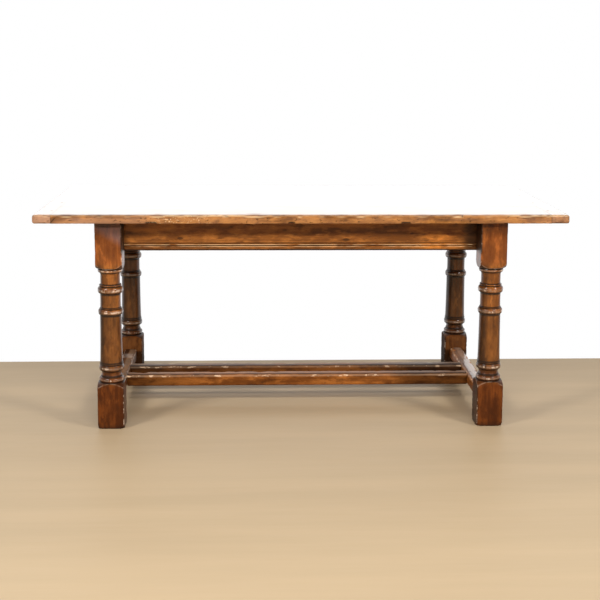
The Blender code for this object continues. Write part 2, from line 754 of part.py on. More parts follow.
def make_end_stretcher(name, side, material):
    """The low bar between the two legs of an end, with mortises for the long stretchers."""
    end = LEG_INNER_Y - CLEARANCE
    x = side * LEG_X
    half = END_STRETCHER_WIDTH / 2
    bar = block(
        name, (x - half, -end, STRETCHER_UNDERSIDE), (x + half, end, STRETCHER_TOP), material
    )
    round_edges(bar, STRETCHER_ARRIS, runs_along(1))
    tenon_half = STRETCHER_TENON_THICKNESS / 2
    rise = STRETCHER_TENON_HEIGHT / 2
    tenons = [
        ((x - tenon_half, way * (end - OVERRUN), STRETCHER_MIDDLE - rise),
         (x + tenon_half, way * (LEG_INNER_Y + STRETCHER_TENON_LENGTH),
          STRETCHER_MIDDLE + rise))
        for way in (-1, 1)
    ]
    combine(bar, blocks(f"{name}_tenons", tenons), "UNION")
    mortise_half = LONG_TENON_WIDTH / 2 + CLEARANCE
    mortise_rise = LONG_TENON_HEIGHT / 2 + CLEARANCE
    inner = side * (STRETCHER_INNER_X - OVERRUN)
    bottom = side * (STRETCHER_INNER_X + LONG_TENON_LENGTH + CLEARANCE)
    mortises = [
        ((inner, way * LONG_STRETCHER_Y - mortise_half, STRETCHER_MIDDLE - mortise_rise),
         (bottom, way * LONG_STRETCHER_Y + mortise_half, STRETCHER_MIDDLE + mortise_rise))
        for way in (-1, 1)
    ]
    combine(bar, blocks(f"{name}_mortises", mortises), "DIFFERENCE")
    reach = tenon_half + OVERRUN
    holes = [
        ((side * (LEG_X - reach), way * STRETCHER_PEG_Y, STRETCHER_MIDDLE),
         (side * (LEG_X + reach), way * STRETCHER_PEG_Y, STRETCHER_MIDDLE))
        for way in (-1, 1)
    ]
    holes += [
        ((side * LONG_PEG_X, way * LONG_STRETCHER_Y, long_peg_foot() - CLEARANCE),
         (side * LONG_PEG_X, way * LONG_STRETCHER_Y, STRETCHER_TOP + OVERRUN))
        for way in (-1, 1)
    ]
    hole = PEG_DIAMETER + 2 * CLEARANCE
    combine(bar, rods(f"{name}_peg_holes", holes, hole), "DIFFERENCE")
    return bar


def long_peg_foot():
    """Where the upright peg through a long stretcher's tenon ends."""
    return STRETCHER_MIDDLE - LONG_TENON_HEIGHT / 2 - UPRIGHT_PEG_PAST_TENON


def make_long_stretcher(name, side, material):
    """One of the two low bars that join the end stretchers."""
    end = STRETCHER_INNER_X - CLEARANCE
    y = side * LONG_STRETCHER_Y
    half = LONG_STRETCHER_WIDTH / 2
    bar = block(
        name, (-end, y - half, STRETCHER_UNDERSIDE), (end, y + half, STRETCHER_TOP), material
    )
    round_edges(bar, STRETCHER_ARRIS, runs_along(0))
    tenon_half = LONG_TENON_WIDTH / 2
    rise = LONG_TENON_HEIGHT / 2
    tenons = [
        ((way * (end - OVERRUN), y - tenon_half, STRETCHER_MIDDLE - rise),
         (way * (STRETCHER_INNER_X + LONG_TENON_LENGTH), y + tenon_half,
          STRETCHER_MIDDLE + rise))
        for way in (-1, 1)
    ]
    combine(bar, blocks(f"{name}_tenons", tenons), "UNION")
    reach = rise + OVERRUN
    holes = [
        ((way * LONG_PEG_X, y, STRETCHER_MIDDLE - reach),
         (way * LONG_PEG_X, y, STRETCHER_MIDDLE + reach))
        for way in (-1, 1)
    ]
    hole = PEG_DIAMETER + 2 * CLEARANCE
    combine(bar, rods(f"{name}_peg_holes", holes, hole), "DIFFERENCE")
    return bar


# Pegs, buttons and screws


def make_leg_pegs(side_x, side_y, corner, material):
    """The pegs at one leg: two for the end rail, one for the stretcher, one for the frieze."""
    face = side_x * (LEG_X + LEG_BLOCK / 2)
    for place, z in rail_peg_heights().items():
        start = (side_x * RAIL_PEG_END_X, side_y * TENON_PEG_Y, z)
        end = (face, side_y * TENON_PEG_Y, z)
        peg(f"rail_peg_{corner}_{place}", start, end, PEG_DIAMETER, material)
    start = (side_x * STRETCHER_PEG_END_X, side_y * STRETCHER_PEG_Y, STRETCHER_MIDDLE)
    end = (face, side_y * STRETCHER_PEG_Y, STRETCHER_MIDDLE)
    peg(f"foot_peg_{corner}", start, end, PEG_DIAMETER, material)
    start = (side_x * FRIEZE_PEG_X, side_y * FRIEZE_INNER_Y, FRIEZE_PEG_Z)
    end = (side_x * FRIEZE_PEG_X, side_y * (LEG_INNER_Y + FRIEZE_PEG_DEPTH), FRIEZE_PEG_Z)
    peg(f"frieze_peg_{corner}", start, end, PEG_DIAMETER, material)


def make_stretcher_peg(side_x, side_y, corner, material):
    """The upright peg through an end stretcher and a long stretcher's tenon."""
    x, y = side_x * LONG_PEG_X, side_y * LONG_STRETCHER_Y
    name = f"stretcher_peg_{corner}"
    peg(name, (x, y, long_peg_foot()), (x, y, STRETCHER_TOP), PEG_DIAMETER, material)


def button_seats():
    """Each button's name with its x, its rail's face and the direction away from it."""
    places = zip(("left", "centre", "right"), FRIEZE_BUTTON_SHARES)
    return {
        f"{face}_{place}": (share * LEG_X, side * FRIEZE_INNER_Y, -side)
        for place, share in places
        for side, face in FACES
    }


def screw_places():
    """The middle of each button, where its screw stands."""
    reach = CLEARANCE + BUTTON_LENGTH / 2
    return {name: (x, y + away * reach) for name, (x, y, away) in button_seats().items()}


def screw_tip():
    return BUTTON_TOP - BUTTON_THICKNESS + SCREW_LENGTH


def make_button(place, material):
    """A block whose tongue sits in the frieze's groove, screwed to the boards."""
    name = f"top_button_{place}"
    x, face, away = button_seats()[place]
    half = BUTTON_WIDTH / 2
    low = (x - half, face + away * CLEARANCE, BUTTON_TOP - BUTTON_THICKNESS)
    high = (x + half, face + away * (CLEARANCE + BUTTON_LENGTH), BUTTON_TOP)
    button = block(name, low, high, material)
    round_edges(button, BUTTON_ARRIS, runs_along(2), segments=1)
    half = BUTTON_TONGUE_WIDTH / 2
    tongue = block(
        f"{name}_tongue",
        (x - half, face + away * OVERRUN, BUTTON_TONGUE_TOP - BUTTON_TONGUE_THICKNESS),
        (x + half, face - away * BUTTON_TONGUE_LENGTH, BUTTON_TONGUE_TOP),
    )
    combine(button, tongue, "UNION")
    combine(button, screw_solid(f"{name}_screw_hole", place, CLEARANCE, OVERRUN), "DIFFERENCE")
    return button


def screw_solid(name, place, ease=0, run_out=0, material=None):
    """A countersunk screw or, with ease and run_out, the hole that it stands in."""
    head = BUTTON_TOP - BUTTON_THICKNESS
    neck = head + SCREW_HEAD_HEIGHT
    wide = SCREW_HEAD_DIAMETER / 2 + ease
    narrow = SCREW_DIAMETER / 2 + ease
    outline = [(0, head - run_out), (wide, head - run_out)]
    if run_out:
        outline += [(wide, head), (narrow, neck), (narrow, screw_tip())]
    else:
        outline += [(narrow, neck), (narrow, screw_tip() - SCREW_POINT_HEIGHT)]
    outline.append((0, screw_tip()))
    return turning(name, outline, *screw_places()[place], SCREW_SIDES, material)


def main():
    clear_scene()
    top_oak = oak("top_oak", (0.42, 0.21, 0.08), 0.38)
    leg_oak = oak("leg_oak", (0.30, 0.11, 0.035), 0.34)
    rail_oak = oak("rail_oak", (0.30, 0.13, 0.045), 0.38)
    stretcher_oak = oak("stretcher_oak", (0.28, 0.11, 0.04), 0.36)
    peg_oak = oak("peg_oak", (0.16, 0.07, 0.03), 0.45)
    screw_steel = steel("screw_steel")

    for index, place in enumerate(BOARD_NAMES):
        make_board(f"top_board_{place}", index, top_oak)
    for side, end in ENDS:
        make_cleat(f"top_cleat_{end}", side, top_oak)
        make_cleat_pegs(side, end, peg_oak)
        make_end_rail(f"end_rail_{end}", side, rail_oak)
        make_end_stretcher(f"end_stretcher_{end}", side, stretcher_oak)
        for side_y, face in FACES:
            corner = f"{face}_{end}"
            make_leg(f"leg_{corner}", side, side_y, leg_oak)
            make_leg_pegs(side, side_y, corner, peg_oak)
            make_stretcher_peg(side, side_y, corner, peg_oak)
    for side, face in FACES:
        make_frieze(f"frieze_{face}", side, rail_oak)
        make_long_stretcher(f"long_stretcher_{face}", side, stretcher_oak)
    for place in button_seats():
        make_button(place, rail_oak)
        screw_solid(f"button_screw_{place}", place, material=screw_steel)


main()
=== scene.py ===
"""The refectory table: worn oak pieces round the fixed frame, a plain stage and the camera."""

import math
import random
from functools import partial

import bmesh
import bpy
from bpy.props import FloatProperty, FloatVectorProperty, PointerProperty
from mathutils import Matrix, Vector


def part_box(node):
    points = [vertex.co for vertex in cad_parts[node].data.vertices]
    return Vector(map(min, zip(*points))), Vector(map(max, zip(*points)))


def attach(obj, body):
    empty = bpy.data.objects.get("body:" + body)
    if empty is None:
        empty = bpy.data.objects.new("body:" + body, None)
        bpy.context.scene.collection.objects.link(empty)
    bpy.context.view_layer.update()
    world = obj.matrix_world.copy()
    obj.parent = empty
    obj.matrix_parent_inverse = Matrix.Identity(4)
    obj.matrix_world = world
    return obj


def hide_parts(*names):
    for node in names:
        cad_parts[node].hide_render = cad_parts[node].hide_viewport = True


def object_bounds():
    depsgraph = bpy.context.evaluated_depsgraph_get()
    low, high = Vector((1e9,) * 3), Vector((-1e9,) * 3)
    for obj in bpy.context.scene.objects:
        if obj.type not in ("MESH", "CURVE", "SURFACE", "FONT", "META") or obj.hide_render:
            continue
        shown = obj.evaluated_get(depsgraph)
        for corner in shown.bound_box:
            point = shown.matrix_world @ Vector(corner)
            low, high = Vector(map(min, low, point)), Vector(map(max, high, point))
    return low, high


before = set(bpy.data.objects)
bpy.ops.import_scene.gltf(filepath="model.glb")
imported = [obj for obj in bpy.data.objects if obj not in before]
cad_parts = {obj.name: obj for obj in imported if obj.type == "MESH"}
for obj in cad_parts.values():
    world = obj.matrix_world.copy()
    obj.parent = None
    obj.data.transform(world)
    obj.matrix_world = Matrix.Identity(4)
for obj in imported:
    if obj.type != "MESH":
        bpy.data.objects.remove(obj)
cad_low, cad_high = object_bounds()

bl_info = {
    "name": "Refectory Table",
    "version": (1, 0, 0),
    "blender": (4, 5, 0),
    "location": "View3D > Sidebar > Refectory Table",
    "description": "Builds a worn oak refectory table round its packed frame",
    "category": "Add Mesh",
}

MM = 0.001
X, Y, Z = 0, 1, 2
CORNERS = [(face, end) for face in ("front", "back") for end in ("left", "right")]
SIDE = {"front": -1, "back": 1, "left": -1, "right": 1}
BOARDS = ("front", "mid_front", "mid_back", "back")
LEG_X, LEG_Y = 0.6732, 0.3552  # the legs' middles
RAIL_SHOULDER, END_SHOULDER = 0.6589, 0.3081  # the rails' ends, without their tenons
TOP_HALF = cad_high.x
TOP_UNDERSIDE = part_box("top_board_front")[0].z
RAIL_DROP = 3.6 * MM  # how far the rails and stretchers reach below the CAD's
STRETCHER_DROP = 3.4 * MM
HAIR = 0.01 * MM  # corners nearer than this are one
SKIN = 0.15 * MM  # left for wear on each face
RUN_OUT = 12 * MM  # how far a board runs past its joints until it is cut to them


# Modelling by hand


def only(piece):
    """Makes one piece the active one, with nothing else selected."""
    bpy.ops.object.select_all(action="DESELECT")
    piece.hide_set(False)
    piece.select_set(True)
    bpy.context.view_layer.objects.active = piece


class Editing:
    """Edit mode on one piece, with nothing selected at the start."""

    def __init__(self, piece):
        self.piece = piece

    def __enter__(self):
        only(self.piece)
        bpy.ops.object.mode_set(mode="EDIT")
        self.select("DESELECT")
        return self

    def __exit__(self, *_):
        bpy.ops.object.mode_set(mode="OBJECT")

    def select(self, action="SELECT"):
        bpy.ops.mesh.select_all(action=action)

    def merge(self):
        """Makes corners that are a hair apart one."""
        self.select()
        bpy.ops.mesh.remove_doubles(threshold=HAIR)

    def pick(self, kind, rule):
        """Selects the points, edges or faces that a rule says yes to; returns how many."""
        self.select("DESELECT")
        bpy.ops.mesh.select_mode(type={"verts": "VERT", "edges": "EDGE", "faces": "FACE"}[kind])
        mesh = bmesh.from_edit_mesh(self.piece.data)
        chosen = [item for item in getattr(mesh, kind) if rule(item)]
        for item in chosen:
            item.select_set(True)
        bmesh.update_edit_mesh(self.piece.data)
        return len(chosen)


def modify(piece, kind, **settings):
    """Adds a modifier, gives it its settings and applies it."""
    only(piece)
    bpy.ops.object.modifier_add(type=kind)
    change = piece.modifiers[-1]
    for key, value in settings.items():
        setattr(change, key, value)
    bpy.ops.object.modifier_apply(modifier=change.name)


def start(primitive, name, **settings):
    """Adds a primitive to be worked on, with nothing else selected."""
    bpy.ops.object.select_all(action="DESELECT")
    primitive(**settings)
    piece = bpy.context.object
    piece.name = piece.data.name = name
    return piece


def box_of(node):
    """A CAD solid's lowest and highest corners."""
    low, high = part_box(node)
    return Vector(low), Vector(high)


def runs(edge, axis):
    """True for an edge that lies along an axis."""
    way = edge.verts[1].co - edge.verts[0].co
    return abs(way[axis]) > 0.999 * way.length > 0


def block(name, low, high):
    """A plain block between two corners, to be worked on."""
    low, high = Vector(low), Vector(high)
    piece = start(bpy.ops.mesh.primitive_cube_add, name, size=1, location=(low + high) / 2)
    piece.scale = [abs(size) for size in high - low]
    bpy.ops.object.transform_apply(location=True, rotation=True, scale=True)
    return piece


def section_bar(name, outline, begin, end, place):
    """A bar with the same outline from one end to the other."""
    bar = start(
        bpy.ops.mesh.primitive_circle_add, name, vertices=len(outline), fill_type="NGON"
    )
    for point, (depth, height) in zip(bar.data.vertices, outline):
        point.co = place(depth, height, begin)
    travel = Vector(place(0, 0, end)) - Vector(place(0, 0, begin))
    with Editing(bar) as edit:
        edit.select()
        bpy.ops.mesh.extrude_region_move(TRANSFORM_OT_translate={"value": travel})
        edit.select()
        bpy.ops.mesh.normals_make_consistent(inside=False)
    return bar


def turned(name, outline, x, y, steps):
    """A solid of revolution on an upright axis, from (radius, height) points."""
    piece = start(
        bpy.ops.mesh.primitive_circle_add, name, vertices=len(outline), fill_type="NOTHING"
    )
    for point, (radius, height) in zip(piece.data.vertices, outline):
        point.co = (x + radius, y, height)
    last = len(outline) - 1
    with Editing(piece) as edit:
        edit.pick("edges", lambda side: {point.index for point in side.verts} == {0, last})
        bpy.ops.mesh.delete(type="EDGE")
        edit.select()
        bpy.ops.mesh.spin(steps=steps, angle=math.tau, center=(x, y, 0), axis=(0, 0, 1))
        edit.merge()
        bpy.ops.mesh.normals_make_consistent(inside=False)
    return piece


def bevel(piece, width, steps, rule):
    """Rounds the chosen edges."""
    with Editing(piece) as edit:
        if edit.pick("edges", rule):
            bpy.ops.mesh.bevel(
                offset_type="OFFSET", offset=width, segments=steps, profile=0.5, affect="EDGES"
            )


def slice_up(piece, *cuts):
    """Cuts all long edges along each axis, in two goes, into lengths of about so many mm."""
    for axis, pitch in cuts:
        points = piece.data.vertices
        longest = max(
            abs(points[edge.vertices[1]].co[axis] - points[edge.vertices[0]].co[axis])
            for edge in piece.data.edges
        )
        pieces = max(1, round(longest / (pitch * MM)))
        first = max(1, round(math.sqrt(pieces)))
        second = max(1, round(pieces / first))
        for times, least in ((first - 1, longest * 0.6), (second - 1, longest / first * 0.6)):
            if times:
                with Editing(piece) as edit:
                    edit.pick("edges", lambda e: runs(e, axis) and e.calc_length() > least)
                    bpy.ops.mesh.subdivide(number_cuts=times, quadcorner="STRAIGHT_CUT")


def weather(piece, *layers, rule=None, mid=0.5):
    """Moves a surface in and out by soft, uneven patterns, each a depth in mm and a size.

    rule gives each point's share.
    """
    for depth, scale in layers:
        texture = bpy.data.textures.new("weathering", "CLOUDS")
        texture.noise_scale = scale
        texture.noise_depth = 2
        group = piece.vertex_groups.new(name="weathering")
        for point in piece.data.vertices:
            share = 1.0 if rule is None else rule(point.co)
            if share > 0:
                group.add([point.index], share, "REPLACE")
        modify(
            piece, "DISPLACE", texture=texture, texture_coords="LOCAL", strength=depth * MM,
            mid_level=mid, vertex_group=group.name,
        )
        piece.vertex_groups.remove(piece.vertex_groups["weathering"])
        bpy.data.textures.remove(texture)


def push(piece, dents):
    """Presses soft dents and bruises in: each is a place, a move and how far it reaches."""
    with Editing(piece) as edit:
        bpy.ops.mesh.select_mode(type="VERT")
        for place, move, reach in dents:
            edit.select("DESELECT")
            mesh = bmesh.from_edit_mesh(piece.data)
            place = Vector(place)
            nearest = min(mesh.verts, key=lambda point: (point.co - place).length_squared)
            nearest.select_set(True)
            bmesh.update_edit_mesh(piece.data)
            bpy.ops.transform.translate(
                value=move, use_proportional_edit=True, proportional_size=reach,
                proportional_edit_falloff="SMOOTH",
            )


def combine(piece, tool, operation):
    """Cuts a piece with another, joins it on, or keeps what they share."""
    modify(piece, "BOOLEAN", operation=operation, solver="EXACT", object=tool)
    bpy.data.objects.remove(tool)


def solid_of(node, ease=0):
    """A merged copy of a CAD solid, a little larger where ease is given."""
    copy = bpy.data.objects.new(f"{node}_copy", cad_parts[node].data.copy())
    bpy.context.scene.collection.objects.link(copy)
    copy.data.materials.clear()
    only(copy)
    if copy.data.has_custom_normals:
        bpy.ops.mesh.customdata_custom_splitnormals_clear()
    with Editing(copy) as edit:
        edit.merge()
        bpy.ops.mesh.tris_convert_to_quads()
    if ease:
        modify(copy, "DISPLACE", strength=ease, mid_level=0)
    return copy


def fit_to(piece, node):
    """Keeps the part of a worn piece that its CAD solid allows, with all its joints."""
    combine(piece, solid_of(node), "INTERSECT")
    return piece


def cut_for(piece, nodes):
    """Cuts the holes that the neighbouring solids need."""
    for node in nodes:
        combine(piece, solid_of(node, 0.5 * MM), "DIFFERENCE")
    return piece


def hand_in(piece, node, material, degrees=38):
    """Smooths a finished piece and gives it its finish and its place in the frame."""
    only(piece)
    sharp = piece.data.attributes.get("sharp_face")
    if sharp:
        piece.data.attributes.remove(sharp)
    bpy.ops.object.shade_smooth_by_angle(angle=math.radians(degrees))
    piece.data.materials.clear()
    piece.data.materials.append(material)
    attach(piece, "root")
    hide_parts(node)


# Finishes


class Value:
    """A number that varies over a surface: arithmetic on it adds Math nodes."""

    def __init__(self, finish, socket):
        self.finish, self.socket = finish, socket

    def math(self, operation, *others, clamp=False):
        return self.finish.maths(operation, (self, *others), clamp)

    def __add__(self, other):
        return self.math("ADD", other)

    def __sub__(self, other):
        return self.math("SUBTRACT", other)

    def __rsub__(self, other):
        return self.finish.maths("SUBTRACT", (other, self))

    def __mul__(self, other):
        return self.math("MULTIPLY", other)

    def __truediv__(self, other):
        return self.math("DIVIDE", other)

    def __rtruediv__(self, other):
        return self.finish.maths("DIVIDE", (other, self))

    def __neg__(self):
        return self.math("MULTIPLY", -1.0)

    __radd__, __rmul__ = __add__, __mul__

    def size(self):
        return self.math("ABSOLUTE")

    def least(self, other):
        return self.math("MINIMUM", other)

    def most(self, other):
        return self.math("MAXIMUM", other)

    def part(self):
        """What is left after the whole number."""
        return self.math("FRACT")

    def root(self):
        return self.math("SQRT")

    def held(self):
        """Kept between 0 and 1."""
        return self.math("ADD", 0.0, clamp=True)

    def rise(self, low, high):
        """Goes softly from 0 at low to 1 at high; low may be the larger."""
        node = self.finish.add(
            "ShaderNodeMapRange",
            {"interpolation_type": "SMOOTHSTEP", "clamp": True},
            {"Value": self, "From Min": low, "From Max": high},
        )
        return Value(self.finish, node.outputs["Result"])


def strongest(values):
    """The greatest of several values at each place."""
    total, *others = values
    for other in others:
        total = total.most(other)
    return total


class Nodes:
    """A node tree under construction."""

    def __init__(self, owner):
        owner.use_nodes = True
        self.tree = owner.node_tree
        self.tree.nodes.clear()

    def feed(self, socket, value):
        """Links a value to a socket, or sets a plain number or colour on it."""
        if isinstance(value, Value):
            value = value.socket
        if isinstance(value, bpy.types.NodeSocket):
            self.tree.links.new(value, socket)
        else:
            socket.default_value = value

    def add(self, kind, settings=None, inputs=None):
        """Adds a node: its settings first, then its sockets' values or links."""
        node = self.tree.nodes.new(kind)
        for key, value in (settings or {}).items():
            if key == "curve":
                points = node.mapping.curves[0].points
                points[0].location, points[1].location = value[0], value[-1]
                for across, up in value[1:-1]:
                    points.new(across, up)
                for point in points:
                    point.handle_type = "AUTO_CLAMPED"
                node.mapping.update()
            else:
                setattr(node, key, value)
        for key, value in (inputs or {}).items():
            self.feed(node.inputs[key], value)
        return node

    def maths(self, operation, values, clamp=False):
        """The result of a Math node on some values."""
        settings = {"operation": operation, "use_clamp": clamp}
        node = self.add("ShaderNodeMath", settings, dict(enumerate(values)))
        return Value(self, node.outputs[0])

    def parts(self, vector):
        """The three numbers of a vector."""
        split = self.add("ShaderNodeSeparateXYZ", {}, {"Vector": vector})
        return [Value(self, socket) for socket in split.outputs]

    def seen_by(self, *rays):
        """1 for the given kinds of ray, else 0."""
        path = self.add("ShaderNodeLightPath")
        return strongest([Value(self, path.outputs[f"Is {ray} Ray"]) for ray in rays])


class Finish(Nodes):
    """A material under construction."""

    def __init__(self, name):
        self.material = bpy.data.materials.new(name)
        super().__init__(self.material)
        self.place = self.add("ShaderNodeTexCoord").outputs["Object"]
        self.x, self.y, self.z = self.parts(self.place)

    def noise(self, scale, move=(0, 0, 0), detail=2.0, rough=0.5):
        """A cloudy pattern of numbers round 0.5, at so many waves a metre on each axis."""
        place = self.add(
            "ShaderNodeMapping", {"vector_type": "POINT"},
            {"Vector": self.place, "Scale": scale, "Location": move},
        )
        node = self.add(
            "ShaderNodeTexNoise", {"noise_dimensions": "3D"},
            {"Vector": place.outputs["Vector"], "Scale": 1.0, "Detail": detail,
             "Roughness": rough},
        )
        return Value(self, node.outputs["Fac"])

    def mix(self, share, first, second, blend="MIX"):
        """Mixes two colours."""
        node = self.add("ShaderNodeMix", {"data_type": "RGBA", "blend_type": blend})
        sockets = {socket.identifier: socket for socket in node.inputs}
        self.feed(sockets["Factor_Float"], share)
        for key, colour in (("A_Color", first), ("B_Color", second)):
            self.feed(sockets[key], (*colour, 1.0) if isinstance(colour, tuple) else colour)
        return next(s for s in node.outputs if s.identifier == "Result_Color")

    def profile(self, value, span, points):
        """A smooth curve through (value, result) points, for values from 0 to span."""
        node = self.add(
            "ShaderNodeFloatCurve", {"curve": [(at / span, result) for at, result in points]},
            {"Value": value / span},
        )
        return Value(self, node.outputs[0])

    def bump(self, height, distance, strength=1.0, under=None):
        inputs = {"Height": height, "Distance": distance, "Strength": strength}
        if under:
            inputs["Normal"] = under
        return self.add("ShaderNodeBump", {}, inputs).outputs["Normal"]

    def close(self, inputs, fixed):
        """Ends the material in one shader; fixed holds the sockets that never vary."""
        shader = self.add("ShaderNodeBsdfPrincipled", {}, inputs)
        for key, value in fixed.items():
            shader.inputs[key].default_value = value
        self.add("ShaderNodeOutputMaterial", {}, {"Surface": shader.outputs["BSDF"]})
        return self.material


def linear(colour):
    """A screen colour (0 to 255) as the shader takes it."""
    shares = [part / 255 for part in colour]
    return tuple(s / 12.92 if s <= 0.04045 else ((s + 0.055) / 1.055) ** 2.4 for s in shares)


def oak(name, tones, along, heart, seed, marks=None, gloss=0.30, blotch=0.6, coat=0.25,
        mottle=0.35, glint=0.3, coat_ior=1.5, coat_rough=0.09, streaks=1.0, dark_clouds=0.6):
    """Waxed oak. The grain runs along an axis; heart is the tree's middle on the other two.

    marks gives the marks of use over the surface, and on some pieces painted light and shade.
    These are numbers: rub (pale wood: wear, and painted highlights), dirt (grime, and painted
    shade), calm (less mottling), dull (rougher), polish (more wax) and depth, which multiplies
    the colour and on some pieces paints shade. tint is a share and a colour that multiplies
    (on the friezes a painted lit patch), haze a share and a screen colour laid over, which on
    some pieces paints a reflection, a highlight or shade.
    """
    finish = Finish(name)
    dark, mid, light, worn, grime = tones
    axes = [finish.x, finish.y, finish.z]
    across = [axis for axis in (X, Y, Z) if axis != along]
    ring = 3.4 * MM

    def grained(length, width):
        scale = [width, width, width]
        scale[along] = length
        return scale

    shift = (seed * 1.7, seed * 2.3 + 5, seed * 3.1 - 2)
    sway = finish.noise(grained(1.1, 7.0), shift, 2.0)
    waver = finish.noise(grained(5.0, 26.0), shift, 2.0)
    first = axes[across[0]] - heart[0] + (sway - 0.5) * 0.05
    second = axes[across[1]] - heart[1]
    radius = (first * first + second * second).root() + (waver - 0.5) * 0.005
    phase = (radius / ring).part()
    late = phase.rise(0.35, 0.95) * phase.rise(1.0, 0.95)
    streak = finish.noise(grained(2.6, 62.0), shift, 3.0, 0.62)
    fibre = finish.noise(grained(18.0, 900.0), shift, 2.0, 0.6)
    pore = finish.noise(grained(60.0, 2300.0), shift, 1.0).rise(0.60, 0.68) * (1 - late)
    cloud = finish.noise(grained(3.6, 11.0), shift, 3.0, 0.58)
    spots = finish.noise(grained(14.0, 30.0), shift, 4.0, 0.64)
    finish.cloud, finish.spots = cloud, spots

    colour = finish.mix(1 - streak.rise(0.62, 0.36) * streaks, dark, mid)
    colour = finish.mix((cloud.rise(0.46, 0.64) * blotch).held(), colour, light)
    colour = finish.mix(cloud.rise(0.50, 0.32) * dark_clouds, colour, dark)
    colour = finish.mix((late * 0.40 * waver.rise(0.3, 0.6)).held(), colour, dark)
    found = marks(finish) if marks else {}
    patch = finish.noise(grained(20.0, 52.0), shift, 3.0, 0.62)
    strength = (1 - found.get("calm", 0.0)) * mottle
    colour = finish.mix(patch.rise(0.50, 0.70) * strength, colour, light)
    colour = finish.mix((patch.rise(0.50, 0.30) * strength * 1.5).held(), colour, dark)
    colour = finish.mix(spots.rise(0.58, 0.74) * 0.65, colour, grime)
    colour = finish.mix(fibre.rise(0.62, 0.34) * 0.25, colour, dark)
    colour = finish.mix(pore * 0.5, colour, grime)
    roughness = (fibre * 0.12 + cloud * 0.14 + gloss - 0.06 + pore * 0.2).held()
    height = fibre * 0.25 - pore * 0.8 - late * 0.25 + streak * 0.5
    if "tint" in found:
        share, tinted = found["tint"]
        colour = finish.mix(share, colour, finish.mix(1.0, colour, tinted, "MULTIPLY"))
    if "depth" in found:
        colour = finish.mix(1.0, colour, found["depth"], "MULTIPLY")
    # A screen colour laid over: on some pieces a painted reflection, highlight or shade.
    if "haze" in found:
        share, veil = found["haze"]
        colour = finish.mix(share, colour, linear(veil))
    # Grime, and the painted shade that some marks add.
    if "dirt" in found:
        colour = finish.mix((found["dirt"] * 0.9).held(), colour, grime)
        roughness = roughness + found["dirt"] * 0.15
    # Pale wood where it is worn, and painted highlights.
    if "rub" in found:
        colour = finish.mix((found["rub"] * 0.85).held(), colour, worn)
        roughness = roughness - found["rub"] * 0.05
    if "dull" in found:
        roughness = roughness + found["dull"]
    roughness = roughness.held()
    if "polish" in found:
        coat = (found["polish"] * (1.0 - coat) + coat).held()
    fine = finish.bump(height, 0.25 * MM, 0.35)
    hollow = finish.noise(grained(9.0, 34.0), shift, 2.0)
    normal = finish.bump(hollow, 1.6 * MM, 0.30, fine)
    return finish.close(
        {"Base Color": colour, "Roughness": roughness, "Normal": normal, "Coat Weight": coat},
        {"Coat Roughness": coat_rough, "Coat IOR": coat_ior, "IOR": 1.5,
         "Specular IOR Level": glint},
    )


def steel(name):
    finish = Finish(name)
    cloud = finish.noise((300, 300, 300), (0, 0, 0), 3.0)
    fine = finish.noise((2500, 2500, 900), (0, 0, 0), 2.0)
    colour = finish.mix(cloud.rise(0.35, 0.7), linear((150, 146, 138)), linear((96, 78, 60)))
    normal = finish.bump(fine, 0.05 * MM, 0.4)
    inputs = {
        "Base Color": colour, "Roughness": (cloud * 0.25 + 0.25).held(), "Normal": normal,
    }
    return finish.close(inputs, {"Metallic": 1.0})


# The object's own values


def length(name, description, usual, most):
    """A length that a user would change, in mm here."""
    return FloatProperty(
        name=name, description=description, default=usual * MM, min=0, max=most * MM,
        unit="LENGTH",
    )


def colour_of(part, screen):
    """A part's colour that a user would change."""
    return FloatVectorProperty(
        name=part, description=f"The usual colour of the {part.lower()}", subtype="COLOR",
        size=3, default=linear(screen), min=0, max=1,
    )


class TableSizes(bpy.types.PropertyGroup):
    """Sizes that a user would change"""

    edge_wear: length("Edge wear", "How far the long edges of the top are rubbed away", 3.0, 8)
    plank_wave: length("Plank wave", "How uneven the planed surfaces are", 0.5, 2)
    bruise_depth: length("Bruise depth", "How deep the knocks on the edges are", 2.4, 6)


class TableColours(bpy.types.PropertyGroup):
    """Colours that a user would change"""

    top: colour_of("Top", (157, 101, 45))
    legs: colour_of("Legs", (154, 84, 33))
    rails: colour_of("Rails", (184, 114, 51))
    stretchers: colour_of("Stretchers", (154, 91, 39))
    floor: colour_of("Floor", (188, 164, 130))


def sizes():
    return bpy.context.scene.table_sizes


def colours():
    return bpy.context.scene.table_colours


DARK, LIGHT = 0.42, 1.5  # shares of a finish's usual colour
GRIME = (34, 20, 12)


def shade(colour, share):
    """A colour made darker or lighter, and a little redder as it darkens."""
    red, green, blue = colour
    return (min(red * share, 1), min(green * share ** 1.12, 1), min(blue * share ** 1.2, 1))


def tones(colour, worn=(222, 176, 122)):
    """The five tones of one oak finish: dark, usual, light, rubbed (also used for painted
    highlights) and grimy (also used for painted shade).
    """
    return (
        shade(colour, DARK), tuple(colour), shade(colour, LIGHT), linear(worn), linear(GRIME)
    )


# The top


